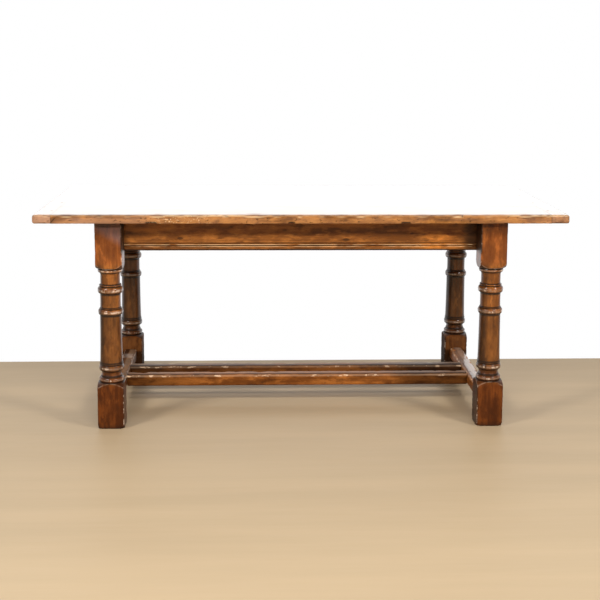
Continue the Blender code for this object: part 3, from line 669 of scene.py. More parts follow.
TOP_KNOCKS = (  # along the front upper edge: place, half length, share of the knock depth
    (-0.878, 0.012, 0.5), (-0.808, 0.026, 0.9), (-0.692, 0.020, 0.35), (-0.600, 0.016, 0.3),
    (-0.500, 0.034, 1.0), (-0.420, 0.018, 0.45), (-0.350, 0.024, 0.4), (-0.268, 0.014, 0.5),
    (-0.168, 0.048, 1.15), (-0.090, 0.018, 0.5), (-0.012, 0.009, 0.9), (0.064, 0.016, 0.4),
    (0.130, 0.022, 0.5), (0.198, 0.022, 0.9), (0.290, 0.020, 0.4), (0.410, 0.026, 0.5),
    (0.534, 0.024, 1.1), (0.640, 0.018, 0.4), (0.769, 0.032, 0.9), (0.850, 0.014, 0.5),
)
ARRIS_WEAR_AND_HIGHLIGHT = (  # along the front upper edge: place, how pale from wear and a painted highlight
    (-0.925, 0.2), (-0.80, 0.25), (-0.56, 0.1), (-0.48, 0.8), (-0.30, 0.95), (-0.14, 0.9),
    (-0.07, 0.2), (0.16, 0.1), (0.20, 0.5), (0.25, 0.1), (0.50, 0.15), (0.68, 0.2),
    (0.73, 0.8), (0.84, 0.85), (0.925, 0.4),
)
UNDER_CHIPS = ((-0.520, 0.024), (-0.040, 0.015), (0.354, 0.021))  # place, half length
UNDER_KNOCKS = (  # along the front lower edge: place, reach, share of the knock depth
    (-0.522, 0.018, 1.0), (-0.040, 0.014, 0.6), (0.354, 0.020, 0.7), (0.700, 0.02, 0.4),
)
CRACK_X, CRACK_Z, CRACK_LEAN = -0.853, 0.752, 0.9  # in the front edge, by the left cleat
DARK_LINE_X, FLECKS_X = 0.549, -0.43


def edge_dents(y, low, high, rand):
    """The knocks and small bruises along one long edge."""
    out = -1 if y < 0 else 1

    def dent(x, upper, depth, reach):
        z = high.z - 2 * MM if upper else low.z + 2 * MM
        return (x, y, z), (0, -out * depth, -depth if upper else depth), reach

    dents = []
    for x, reach, share in TOP_KNOCKS:
        x = x if out < 0 else -x * 0.94 + 0.02
        if abs(x) < high.x:
            dents.append(dent(x, True, sizes().bruise_depth * share, reach))
    for x, reach, share in UNDER_KNOCKS:
        dents.append(dent(x * -out, False, sizes().bruise_depth * share, reach))
    for _ in range(26):
        x = rand.uniform(low.x, high.x)
        depth = rand.uniform(0.5, 1.3) * MM
        upper = rand.random() < 0.7
        dents.append(dent(x, upper, depth, rand.uniform(5, 11) * MM))
    return dents


def make_board(index):
    """One board: its shown faces worn, its tongues and grooves as in the frame."""
    name = f"top_board_{BOARDS[index]}"
    low, high = box_of(name)
    wave = sizes().plank_wave
    skin = SKIN + wave / 2
    outer_front, outer_back = index == 0, index == len(BOARDS) - 1
    y_low = low.y + (skin if outer_front else -RUN_OUT)
    y_high = high.y + (-skin if outer_back else RUN_OUT)
    piece = block(
        f"{name}_worn",
        (low.x - RUN_OUT, y_low, low.z + skin), (high.x + RUN_OUT, y_high, high.z - skin),
    )
    edges = [y for y, outer in ((y_low, outer_front), (y_high, outer_back)) if outer]

    def outer_arris(edge, upper):
        middle = (edge.verts[0].co + edge.verts[1].co) / 2
        level = (middle.z > (low.z + high.z) / 2) == upper
        return level and runs(edge, X) and any(abs(middle.y - y) < 1 * MM for y in edges)

    bevel(piece, 4.8 * MM, 5, lambda edge: outer_arris(edge, True))
    bevel(piece, 2.0 * MM, 3, lambda edge: outer_arris(edge, False))
    slice_up(piece, (Y, 9))
    if edges:
        slice_up(piece, (Z, 4))
    slice_up(piece, (X, 4.5))
    weather(piece, (wave / MM, 0.055))

    def near_edge(co):
        share = 1.0 if co.z > (low.z + high.z) / 2 else 0.4
        return share * max((1 - abs(co.y - y) / 0.012 for y in edges), default=0)

    if edges:
        wear = sizes().edge_wear / MM
        weather(piece, (wear, 0.030), (wear * 0.5, 0.009), rule=near_edge, mid=0.9)
        rand = random.Random(index + 40)
        push(piece, [dent for y in edges for dent in edge_dents(y, low, high, rand)])
    return fit_to(piece, name)


def make_cleat(end):
    """One cleat across the board ends."""
    name, side = f"top_cleat_{end}", SIDE[end]
    low, high = box_of(name)
    wave = sizes().plank_wave
    skin = SKIN + wave / 2
    x_low = low.x + (skin if side < 0 else -RUN_OUT)
    x_high = high.x + (-skin if side > 0 else RUN_OUT)
    piece = block(
        f"{name}_worn",
        (x_low, low.y + skin, low.z + skin), (x_high, high.y - skin, high.z - skin),
    )
    outer = x_low if side < 0 else x_high

    def end_arris(edge):
        ends = [point.co for point in edge.verts]
        upright = runs(edge, Z) and abs(ends[0].x - outer) < 1 * MM
        round_about = all(
            abs(co.x - outer) < 1 * MM or abs(abs(co.y) - high.y + skin) < 1 * MM for co in ends
        )
        level = (runs(edge, X) or runs(edge, Y)) and round_about
        inner = runs(edge, Y) and abs(ends[0].x - outer) > 1 * MM
        return upright or (level and not inner)

    bevel(piece, 8 * MM, 5, end_arris)
    slice_up(piece, (X, 6), (Z, 4), (Y, 4.5))
    weather(piece, (wave / MM, 0.055))

    def near_rim(co):
        to_end = min(high.y - abs(co.y), abs(co.x - outer))
        return max(0, 1 - to_end / 0.012)

    weather(piece, (1.6, 0.024), (1.0, 0.008), rule=near_rim, mid=0.8)
    return fit_to(piece, name)


# The legs


LEG_HALF = 0.0468  # from a leg's middle to its worn faces
FOOT_CUT = (0.1632, 0.876)  # the shoulder on a foot's face: its height, its fall outwards
HEAD_CUT = (0.5716, 0.223, 45.7)  # the same at the head: its height, its rise, its curve


class Heights:
    """The leg's turned members, as heights from the floor."""

    stock = 0.0720  # a radius past the corners of the square block
    foot_block, foot_shoulder = 0.1457, 0.1645
    base_ring, base_fillet, cove_top = 0.1815, 0.1865, 0.2045
    foot_ring, foot_quirk, foot_fillet = 0.2245, 0.2265, 0.2310
    shaft_top, lower_ring, drum_low, drum_top = 0.4050, 0.4270, 0.4305, 0.4810
    upper_ring, neck_quirk, neck_low, neck_top = 0.5060, 0.5080, 0.5125, 0.5450
    collar_low, collar, collar_quirk = 0.5574, 0.5689, 0.5704
    top_block = 0.6239


def shares(steps):
    """Even steps from 0 to 1."""
    return [step / steps for step in range(steps + 1)]


def swell(low, high, foot, crown, head, steps=12):
    """A half-round bead as (radius, height) points."""
    points = []
    for share in shares(steps):
        base = foot + (head - foot) * share
        height = low + (high - low) * (1 - math.cos(math.pi * share)) / 2
        points.append((base + (crown - base) * math.sin(math.pi * share), height))
    return points


def hollow(low, high, foot, waist, head):
    """A cove as (radius, height) points."""
    points = []
    for share in shares(10):
        base = foot + (head - foot) * share
        radius = base - (base - waist) * math.sin(math.pi * share)
        points.append((radius, low + (high - low) * share))
    return points


def leg_outline():
    """The leg's half outline from the foot up, with fine beads, fillets and quirks."""
    h = Heights
    eased = 0.5 * MM
    outline = [(0, -0.01), (h.stock, -0.01), (h.stock, h.foot_block - 0.0058)]
    outline += [  # the foot's shoulder
        (0.0662, 0.1462), (0.0600, 0.1530), (0.0535, 0.1591), (0.0480, 0.1628),
        (0.0440, 0.1642), (0.0402, h.foot_shoulder),
    ]
    outline += swell(h.foot_shoulder, h.base_ring, 0.0402, 0.0438, 0.0370)[1:]
    outline += [(0.0370, h.base_fillet - eased)]
    outline += hollow(h.base_fillet, h.cove_top, 0.0368, 0.0340, 0.0392)
    outline += swell(h.cove_top, h.foot_ring, 0.0390, 0.0439, 0.0392)[1:]
    outline += [
        (0.0388, h.foot_quirk), (0.0408, h.foot_quirk + eased), (0.0412, h.foot_quirk + 2 * eased),
        (0.0411, h.foot_fillet - eased), (0.0405, h.foot_fillet),
    ]
    outline += [
        (0.0374 + 0.0021 * (1 - share) ** 2,
         h.foot_fillet + (h.shaft_top - h.foot_fillet) * share)
        for share in shares(16)[1:-1]
    ]
    outline += swell(h.shaft_top, h.lower_ring, 0.0372, 0.0436, 0.0360)
    outline += [
        (0.0380, h.lower_ring + eased), (0.0384, h.lower_ring + 2 * eased),
        (0.0382, h.drum_low - eased), (0.0362, h.drum_low + eased),
    ]
    outline += [
        (0.0360 - 0.0004 * math.sin(math.pi * share),
         h.drum_low + (h.drum_top - h.drum_low) * share)
        for share in shares(8)[1:-1]
    ]
    outline += swell(h.drum_top, h.upper_ring, 0.0359, 0.0446, 0.0360)
    outline += [
        (0.0359, h.neck_quirk), (0.0386, h.neck_quirk + eased), (0.0391, h.neck_quirk + 3 * eased),
        (0.0390, h.neck_low - 2 * eased), (0.0384, h.neck_low), (0.0346, h.neck_low + 2 * eased),
    ]
    outline += [
        (0.0342, h.neck_low + (h.neck_top - h.neck_low) * share) for share in shares(7)[1:-1]
    ]
    outline += [
        (0.0342 + 0.0062 * (1 - math.cos(math.pi / 2 * share)),
         h.neck_top + (h.collar_low - h.neck_top) * math.sin(math.pi / 2 * share))
        for share in shares(8)
    ]
    outline += swell(h.collar_low, h.collar, 0.0402, 0.0431, 0.0402, 8)[1:]
    outline += [  # where the lathe rounds the head's block down to the collar
        (0.0402 + (h.stock - 0.0402) * math.cos(math.pi / 2 * share),
         h.top_block + (h.collar_quirk - h.top_block) * math.sin(math.pi / 2 * share))
        for share in reversed(shares(12))
    ]
    outline += [(h.stock, 0.76), (0, 0.76)]
    return outline


def make_leg(face, end):
    """A leg turned from a worn square block, with its mortises and peg holes."""
    name = f"leg_{face}_{end}"
    low, high = box_of(name)
    x, y = (low.x + high.x) / 2, (low.y + high.y) / 2
    skin = 0.1 * MM
    piece = block(
        f"{name}_worn", (low.x + skin, low.y + skin, skin), (high.x - skin, high.y - skin, high.z)
    )
    bevel(piece, 2.6 * MM, 3, lambda edge: runs(edge, Z))
    bevel(piece, 1.6 * MM, 2, lambda edge: all(point.co.z < 1 * MM for point in edge.verts))
    slice_up(piece, (X, 6), (Y, 6), (Z, 5))
    weather(piece, (0.5, 0.040), mid=0.7)

    def near_corner(co):
        off = min(high.x - co.x, co.x - low.x), min(high.y - co.y, co.y - low.y)
        return max(0, 1 - max(off) / 0.010) if co.z < 0.7 else 0

    weather(piece, (1.4, 0.020), (1.2, 0.007), rule=near_corner, mid=0.75)

    def dent(side_x, side_y, z, depth, lift, reach):
        corner = (x + side_x * (high.x - x - 1 * MM), y + side_y * (high.y - y - 1 * MM), z)
        return corner, (-side_x * depth, -side_y * depth, lift), reach

    rand = random.Random(name)
    dents = []
    for _ in range(16):
        side_x, side_y = rand.choice((-1, 1)), rand.choice((-1, 1))
        foot = rand.random() < 0.7
        z = rand.uniform(0.004, 0.14) if foot else rand.uniform(0.63, 0.70)
        depth = rand.uniform(0.8, 2.4) * MM
        dents.append(dent(side_x, side_y, z, depth, 0, rand.uniform(5, 12) * MM))
    for side_x in (-1, 1):
        for side_y in (-1, 1):
            depth = rand.uniform(1.5, 3.5) * MM
            dents.append(dent(side_x, side_y, 0.001, depth, depth * 0.6, 14 * MM))
    push(piece, dents)
    combine(piece, turned(f"{name}_turning", leg_outline(), x, y, 72), "INTERSECT")
    for neighbour in ("end_rail", "end_stretcher"):
        cut_mortise(piece, f"{neighbour}_{end}", Y, END_SHOULDER, SIDE[face])
    return cut_for(
        piece,
        [f"rail_peg_{face}_{end}_lower", f"rail_peg_{face}_{end}_upper",
         f"foot_peg_{face}_{end}", f"frieze_peg_{face}_{end}"],
    )


# The friezes and the end rails


MOULDING = (  # in mm: how far behind the outer face, how far above the lower edge
    (0.2, 30.5), (0.3, 29.4), (0.9, 28.9), (2.6, 28.3), (3.1, 27.6), (3.0, 26.9), (2.0, 26.1),
    (1.2, 24.9), (0.7, 23.4), (0.5, 21.9), (0.7, 20.6), (1.4, 19.7), (2.6, 19.2), (3.0, 18.6),
    (2.4, 17.8), (1.4, 17.0), (1.0, 15.9), (0.9, 14.6), (1.2, 13.3), (2.0, 11.9), (3.3, 10.2),
    (4.6, 8.0), (5.6, 5.6), (6.6, 3.2), (7.8, 1.2), (9.2, 0),
)


def tenon_box(node, along, shoulder, way):
    """The corners of a CAD solid's tenon, past a shoulder at one of its ends."""
    past = [v.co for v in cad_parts[node].data.vertices if v.co[along] * way > shoulder]
    low = Vector([min(co[axis] for co in past) for axis in range(3)])
    high = Vector([max(co[axis] for co in past) for axis in range(3)])
    root = low if way > 0 else high
    root[along] = way * (shoulder - 3 * MM)
    return low, high


def cut_mortise(piece, node, along, shoulder, way):
    """Cuts the mortise for one tenon of a neighbour, a little larger than it."""
    low, high = tenon_box(node, along, shoulder + 1 * MM, way)
    ease = Vector((0.3 * MM, 0.3 * MM, 0.3 * MM))
    combine(piece, block(f"{node}_mortise", low - ease, high + ease), "DIFFERENCE")


def make_rail(name, along, shoulder):
    """A moulded rail with its tenons, worn by the plane and the years."""
    other = Y if along == X else X
    low, high = box_of(name)
    side = 1 if low[other] > 0 else -1
    inner, outer = sorted((abs(low[other]), abs(high[other])))
    bottom = low.z - RAIL_DROP
    thickness, height = outer - inner - 0.1 * MM, high.z - bottom - 0.1 * MM
    outline = [(thickness, 0), (thickness, height), (0.2 * MM, height)]
    outline += [(behind * MM, above * MM) for behind, above in MOULDING]

    def place(depth, height, at):
        point = [at, at, bottom + height]
        point[other] = side * (outer - depth)
        return point

    piece = section_bar(f"{name}_worn", outline, -shoulder, shoulder, place)
    slice_up(piece, (Z, 9), (along, 5))
    weather(piece, (0.45, 0.045), (0.35, 0.010))
    for way in (-1, 1):
        tenon = block(f"{name}_tenon", *tenon_box(name, along, shoulder + 1 * MM, way))
        bevel(tenon, 0.8 * MM, 1, lambda edge: not runs(edge, along))
        combine(piece, tenon, "UNION")
    return piece


def make_frieze(face):
    """A long frieze with the groove for the buttons' tongues and its peg holes."""
    name, side = f"frieze_{face}", SIDE[face]
    piece = make_rail(name, X, RAIL_SHOULDER)
    inner = min(abs(place.y) for place in box_of(name))
    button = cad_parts[f"top_button_{face}_centre"].data.vertices
    tongue = [point.co.z for point in button if abs(point.co.y) > inner]
    groove = block(
        f"{name}_groove", (-0.7, side * (inner - 4 * MM), min(tongue) - 0.3 * MM),
        (0.7, side * (inner + 9 * MM), max(tongue) + 0.3 * MM),
    )
    combine(piece, groove, "DIFFERENCE")
    return cut_for(piece, [f"frieze_peg_{face}_left", f"frieze_peg_{face}_right"])


def make_end_rail(end):
    """An end rail with the friezes' mortises and its peg holes."""
    piece = make_rail(f"end_rail_{end}", Y, END_SHOULDER)
    for face in ("front", "back"):
        cut_mortise(piece, f"frieze_{face}", X, RAIL_SHOULDER, SIDE[end])
    cut_for(
        piece,
        [f"rail_peg_{face}_{end}_{level}"
         for face in ("front", "back") for level in ("lower", "upper")],
    )
    with Editing(piece) as edit:
        edit.merge()
    return piece


# The stretchers


def make_stretcher(name, along):
    """A low bar, rubbed on its upper edges, with the joints of its CAD solid."""
    low, high = box_of(name)
    other = Y if along == X else X
    skin, run_out = 0.35 * MM, 8 * MM
    begin, end = low.copy(), high.copy()
    for axis in (other, Z):
        begin[axis] += skin
        end[axis] -= skin
    begin[along] -= run_out
    end[along] += run_out
    piece = block(f"{name}_worn", begin, end)
    bevel(piece, 6.2 * MM, 5, lambda edge: runs(edge, along))
    slice_up(piece, (other, 7), (Z, 7), (along, 4))
    weather(piece, (0.5, 0.045))
    middle = (low[other] + high[other]) / 2

    def upper_arris(co):
        off = max(high.z - co.z, min(high[other] - co[other], co[other] - low[other]))
        return max(0, 1 - off / 0.011)

    weather(piece, (2.6, 0.032), (1.4, 0.009), rule=upper_arris, mid=0.9)
    rand = random.Random(name)
    dents = []
    for _ in range(34 if along == X else 14):
        side = rand.choice((-1, 1))
        place = Vector((0, 0, high.z - 1.5 * MM))
        place[along] = rand.uniform(low[along] + 0.03, high[along] - 0.03)
        place[other] = middle + side * ((high - low)[other] / 2 - 1.5 * MM)
        depth = rand.uniform(0.8, 2.2) * MM
        move = Vector((0, 0, -depth))
        move[other] = -side * depth
        dents.append((place, move, rand.uniform(8, 26) * MM))
    push(piece, dents)
    fit_to(piece, name)
    turn = low.z + 6 * MM
    with Editing(piece) as edit:
        edit.pick("verts", lambda point: point.co.z < turn)
        bpy.ops.transform.resize(
            value=(1, 1, 1 + STRETCHER_DROP / (turn - low.z)), center_override=(0, 0, turn)
        )
    return piece


# Pegs, buttons and screws


def make_peg(node, rand):
    """One peg: faceted by the knife, its head domed and its far end tapered."""
    low, high = box_of(node)
    size = high - low
    along = max(range(3), key=lambda axis: size[axis])
    middle = (low + high) / 2
    radius = min(size[axis] for axis in range(3) if axis != along) / 2 - 0.12 * MM
    if node.startswith(("cleat_peg", "stretcher_peg")):
        way = 1
    elif node.startswith("frieze_peg"):
        way = 1 if middle.y < 0 else -1
    else:
        way = 1 if middle[along] > 0 else -1
    peg = start(
        bpy.ops.mesh.primitive_cylinder_add, f"{node}_whittled", vertices=16, radius=radius,
        depth=size[along], end_fill_type="NGON",
    )
    with Editing(peg) as edit:
        edit.pick("faces", lambda face: face.normal.z > 0.9)
        bpy.ops.mesh.inset(thickness=radius * 0.28)
        bpy.ops.transform.translate(value=(0, 0, 0.35 * MM))
        bpy.ops.mesh.inset(thickness=radius * 0.32)
        bpy.ops.transform.translate(value=(0, 0, 0.15 * MM))
        edit.pick("faces", lambda face: face.normal.z < -0.9)
        bpy.ops.transform.resize(value=(0.82, 0.82, 1))
    slice_up(peg, (Z, 5))
    for point in peg.data.vertices:
        twist = math.atan2(point.co.y, point.co.x)
        flat = 1 - 0.035 * (0.5 + 0.5 * math.cos(8 * twist + rand.random() * 0.6))
        point.co.x *= flat
        point.co.y *= flat
        point.co.z -= 0.5 * MM
    turn = Vector((0, 0, 1)).rotation_difference(
        Vector([way if axis == along else 0 for axis in range(3)])
    )
    peg.data.transform(Matrix.Translation(middle) @ turn.to_matrix().to_4x4())
    return peg


def make_button(name):
    """A turn button: a block with a chamfered nose, whose tongue stands in the groove."""
    low, high = box_of(name)
    piece = block(
        f"{name}_shaped",
        (low.x + 0.2 * MM, low.y - 4 * MM, low.z + 0.2 * MM),
        (high.x - 0.2 * MM, high.y + 4 * MM, high.z - 0.05 * MM),
    )
    bevel(
        piece, 1.8 * MM, 3,
        lambda edge: runs(edge, Y) and edge.verts[0].co.z < (low.z + high.z) / 2,
    )
    fit_to(piece, name)
    bevel(
        piece, 2.5 * MM, 2,
        lambda edge: runs(edge, X) and edge.calc_length() > 20 * MM
        and all(point.co.z < low.z + 1 * MM for point in edge.verts),
    )
    return piece


def make_screw(name):
    """A countersunk screw with a slot across its head."""
    low, high = box_of(name)
    x, y = (low.x + high.x) / 2, (low.y + high.y) / 2
    head = (high.x - low.x) / 2
    shank = 2.15 * MM
    outline = [
        (0, low.z + 0.05 * MM), (head * 0.8, low.z + 0.05 * MM), (head, low.z + 0.35 * MM),
        (shank, low.z + 3.4 * MM),
    ]
    z = low.z + 9 * MM
    tip = high.z - 4 * MM
    while z < tip:
        outline += [(shank, z), (shank * 0.72, z + 0.7 * MM), (shank * 0.72, z + 1.0 * MM)]
        z += 1.7 * MM
    outline += [(shank * 0.7, tip), (0, high.z)]
    piece = turned(f"{name}_turned", outline, x, y, 20)
    slot = block(
        f"{name}_slot", (x - 0.01, y - 0.5 * MM, low.z - 1 * MM),
        (x + 0.01, y + 0.5 * MM, low.z + 1.2 * MM),
    )
    slot.data.transform(
        Matrix.Translation((x, y, 0)) @ Matrix.Rotation(x * 9, 4, "Z")
        @ Matrix.Translation((-x, -y, 0))
    )
    combine(piece, slot, "DIFFERENCE")
    return piece


# Marks of use, and painted light and shade, over a surface, as the oak finish takes them


def band(distance, soft, reach):
    """1 where a distance is small, falling to 0 at its reach."""
    return distance.size().rise(reach, soft)


def top_marks(finish):
    """The long edges and ends of the top: rubbed arrises with a painted highlight along them,
    knocks with painted shade in their dips and a painted highlight below, chips, a pale haze and
    dirt.
    """
    x, y, z = finish.x, finish.y, finish.z
    edge = (cad_high.y - y.size()).least(cad_high.x - x.size())
    on_edge = edge.rise(0.012, 0.004)
    from_top = cad_high.z - z
    arris = 1 - edge.most(from_top).rise(0.0022, 0.0068)
    broken = finish.noise((34, 34, 34), (3, 1, 4), 3.0, 0.6).rise(0.40, 0.60)
    from_left = x + TOP_HALF
    # Pale along the upper arris: wear, and a painted highlight line.
    worn = finish.profile(
        from_left, 2 * TOP_HALF, [(place + TOP_HALF, share) for place, share in ARRIS_WEAR_AND_HIGHLIGHT]
    )
    points = [(0.0, 0.0), (2 * TOP_HALF, 0.0)]
    for place, half, share in TOP_KNOCKS:
        points += [(place - half + TOP_HALF, 0.0), (place + TOP_HALF, min(1, 0.8 * share)),
                   (place + half + TOP_HALF, 0.0)]
    front = y.rise(0.1, -0.1)
    knock = finish.profile(from_left, 2 * TOP_HALF, sorted(points)) * front
    # Painted shade in each knock's dip, and a painted highlight below it.
    shadow = knock * from_top.rise(0.0055, 0.0015) * on_edge
    knock_highlight = knock * band(from_top - 0.0075, 0.001, 0.0040) * on_edge
    flecks = finish.noise((150, 150, 190), (2, 6, 1), 2.0).rise(0.60, 0.68)
    flecks = flecks * band(x - FLECKS_X, 0.05, 0.14) * on_edge * front
    chips = finish.noise((60, 60, 130), (9, 2, 7), 2.0).rise(0.60, 0.70) * on_edge
    notch = strongest([band(x - place, half * 0.6, half) for place, half in UNDER_CHIPS])
    notch = notch * (z - TOP_UNDERSIDE).rise(0.0100, 0.0050) * on_edge * front
    crack = band(x - CRACK_X - (z - CRACK_Z) * CRACK_LEAN, 0.0008, 0.003) * front
    crack = crack * (z - CRACK_Z - 0.006).rise(0.005, 0.0) * on_edge
    haze = (-x).rise(0.30, 0.90) * 0.50
    haze = haze.most(x.rise(0.66, 0.90) * 0.30) * finish.cloud.rise(0.25, 0.60)
    haze = haze.most(finish.cloud.rise(0.30, 0.60) * 0.10) * on_edge
    dark_line = band(x - DARK_LINE_X, 0.001, 0.004) * from_top.rise(0.010, 0.006)
    joint = x.size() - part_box("top_cleat_right")[0].x
    on_boards = joint.rise(0.001, -0.001)
    seam = strongest([band(joint, 0.0005, 0.0019)] + [
        band(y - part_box(f"top_board_{board}")[1].y, 0.0006, 0.0022) * on_boards
        for board in BOARDS[:-1]
    ])
    crack = crack.most(seam * (1 - on_edge * 0.55))
    return {
        "rub": (arris * (broken * 0.3).most(worn)).most(knock_highlight * 0.7).most(flecks * 0.7),
        "dirt": shadow.most(chips * 0.75).most(notch).most(crack)
        .most(dark_line * on_edge * front),
        "haze": (haze, (206, 164, 138)),
        "calm": edge.rise(0.004, 0.012) * 0.85,
        "polish": from_top.rise(0.003, 0.001) * edge.rise(0.004, 0.010),
    }


def leg_marks(finish):
    """Grime in the quirks and painted shade under the rings, wax and painted highlights on the
    crests, paler turned lengths, dark feet, and painted shade on the sides, heads and inner faces.
    """
    h = Heights
    z = finish.z
    # Grime in the quirks, and painted shade under each ring's lower side.
    dirt = strongest([band(z - height, reach * 0.25, reach) for height, reach in (
        (h.foot_shoulder, 0.0045), (h.base_ring + 0.003, 0.0060), (h.base_fillet, 0.003),
        (h.cove_top, 0.0045), (h.foot_quirk, 0.0040), (h.foot_fillet + 0.002, 0.005),
        (h.shaft_top, 0.0085), (h.lower_ring, 0.0030), (h.drum_low + 0.001, 0.0030),
        (h.drum_top, 0.0085), (h.neck_quirk - 0.001, 0.0035), (h.neck_low + 0.002, 0.0035),
        (h.collar_low - 0.001, 0.004), (h.collar_quirk, 0.0065),
    )])
    broken = finish.noise((60, 60, 60), (1, 7, 2), 2.0).rise(0.30, 0.55)
    crest = strongest([band(z - (low + high) / 2, 0.0, reach) for low, high, reach in (
        (h.foot_shoulder, h.base_ring, 0.006), (h.cove_top, h.foot_ring, 0.007),
        (h.shaft_top, h.lower_ring, 0.008), (h.drum_top, h.upper_ring, 0.009),
        (h.collar_low, h.collar, 0.005),
    )])
    x = finish.x.size() - LEG_X
    y = finish.y.size() - LEG_Y
    corner = x.size().least(y.size()).rise(0.0425, 0.0462)
    chipped = finish.noise((90, 90, 60), (4, 2, 8), 2.0).rise(0.52, 0.64)
    low_dirt = z.rise(0.02, 0.0) * 0.7
    foot = z.rise(0.165, 0.150)
    right = finish.x.rise(-0.01, 0.01)
    inner_face = (-x).rise(0.040, 0.045)
    # Painted shade on the heads' inner faces beside the friezes, and on the feet's inner faces.
    inside = inner_face * (z.rise(0.614, 0.636) * 1.05).most(foot * (right * 0.50 + 0.22))
    turned_part = z.rise(0.16, 0.24) * z.rise(0.60, 0.57)
    # Painted shade on the turned length's sides, away from a lit line a little right of the
    # middle.
    off_light = x * (right * 2 - 1) - 0.010
    side = off_light.size().rise(0.012, 0.044) * turned_part * 0.62
    # Painted shade under the top's overhang, on the leg heads.
    head_shade = z.rise(0.672, 0.715) * 0.30
    behind = finish.y.rise(-0.1, 0.1)
    facing = 1 - behind
    front_left = (1 - right) * facing
    # A grey painted shade patch across the front left leg's head.
    veil = (z - x * 0.6).rise(0.668, 0.708) * front_left * 0.36
    off_middle = (x * x + y * y).root() - LEG_HALF
    foot_cut = FOOT_CUT[0] - off_middle * FOOT_CUT[1] - z
    height, lift, curve = HEAD_CUT
    head_cut = z - (off_middle * off_middle * curve + off_middle * lift + height)
    on_face = x.size().most(y.size()).rise(0.0445, 0.0462)
    at_foot = z.rise(0.140, 0.145) * z.rise(0.170, 0.166)
    at_head = z.rise(0.5695, 0.5715) * z.rise(0.605, 0.600)
    turned_cut = (1 - on_face) * at_foot.most(at_head) * 0.55
    cut_line = at_foot * foot_cut.rise(0.0030, 0.0012)
    cut_line = cut_line.most(at_head * head_cut.rise(0.0026, 0.0008)) * on_face
    # Darker towards the floor: patina on the feet, and painted shade on the lower lengths.
    depth = finish.profile(
        z, 0.8, ((0.0, 0.36), (0.14, 0.44), (0.165, 0.44), (0.23, 0.45), (0.26, 0.57),
                 (0.40, 0.62), (0.43, 0.86), (0.50, 0.90), (0.53, 1.0), (0.62, 1.0), (0.8, 1.0))
    )
    # Painted highlights: small pale patches on the rings' crests.
    ring_highlight = finish.noise((48, 48, 20), (5, 3, 1), 2.0).rise(0.53, 0.59)
    # Painted shade on the front left leg's upper shaft.
    upper = z.rise(0.31, 0.40) * z.rise(0.42, 0.40) * front_left * 0.34
    # Painted light on the back feet's upper part, painted shade below it.
    lit_foot = behind * foot * (z.rise(0.092, 0.108) * 1.45 - 0.35)
    # Painted light on the front right leg's drum, painted shade on the front left's.
    drum_shading = z.rise(0.42, 0.44) * z.rise(0.53, 0.50) * facing * (right * 0.32 - 0.10)
    outer = x.rise(-0.01, 0.01)
    knocks = corner * chipped
    # For the back legs, greyer and bluer tints: painted shade, with their darker copy.
    turned_tint = finish.mix(behind, (1.09, 1.29, 1.33), (1.10, 1.38, 1.75))
    foot_tint = finish.mix(behind, (0.98, 0.86, 0.72), (0.84, 1.04, 1.55))
    return {
        "rub": (crest * broken * 0.14).most(crest * crest * ring_highlight * (0.8 - behind * 0.45))
        .most(knocks * (1 - outer) * 0.9).most(cut_line * broken * facing * 0.16),
        "dirt": dirt.most(low_dirt).most(head_shade).most(inside).most(turned_cut)
        .most(knocks * outer * 0.8),
        "dull": inner_face * behind * foot * 0.55,
        "depth": depth * (1 - side) * (1 - upper) * (lit_foot + 1) * (drum_shading + 1),
        "tint": (turned_part.most(foot), finish.mix(foot, turned_tint, foot_tint)),
        "haze": (veil, (104, 104, 112)),
        "polish": crest.most(z.rise(0.160, 0.170) * 0.2),
    }


FRIEZE_KNOTS = (  # place, height above the lower edge, size
    (0.160, 0.040, 0.007), (-0.060, 0.075, 0.006), (0.395, 0.062, 0.005), (-0.430, 0.045, 0.006),
    (0.300, 0.085, 0.006),
)


def rail_marks(finish):
    """Dirt in the grooves of the moulding, darker along its lower edge, painted shade above it
    from the top and at the ends from the legs, painted highlights on the beads, knots, a painted
    lit patch.
    """
    z = finish.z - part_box("frieze_front")[0].z + RAIL_DROP
    dirt = strongest([band(z - height, reach * 0.3, reach) for height, reach in (
        (0.0278, 0.0023), (0.0187, 0.0020), (0.0, 0.0090),
    )])
    broken = finish.noise((20, 20, 60), (1, 7, 2), 2.0).rise(0.35, 0.6)
    beads = band(z - 0.0218, 0.0, 0.0024).most(band(z - 0.0150, 0.0, 0.0018))
    # Painted highlight along the beads, strongest left of the middle.
    shine = band(finish.x + 0.215, 0.10, 0.20)
    # A painted lit patch on the lower frieze near its right end.
    lit_patch = band(finish.x - 0.49, 0.03, 0.075) * (z - 0.052).rise(0.012, 0.0)
    # Painted shadows of the legs on the friezes' ends.
    corner = (finish.x.rise(0.555, 0.605) * 0.9).most((-finish.x).rise(0.600, 0.640) * 0.6)
    corner = corner * finish.x.size().rise(0.66, 0.64)
    ragged = (finish.spots - 0.5) * 1.6
    for place, height, size in FRIEZE_KNOTS:
        across, up = (finish.x - place) * (0.5 / size), (z - height) * (1 / size)
        knot = (across * across + up * up + ragged).rise(1.2, 0.1)
        dirt = dirt.most(knot * 0.75)
    # Painted shadow of the top's overhang on the rail's upper part.
    dirt = dirt.most(z.rise(0.052, 0.066) * (band(finish.x - 0.05, 0.22, 0.40) * 0.12 + 0.25))
    return {
        "rub": beads * (broken * 0.85).most(shine),
        "dirt": dirt.most(corner),
        "tint": (lit_patch, (1.45, 1.40, 1.20)),
        "polish": beads,
    }


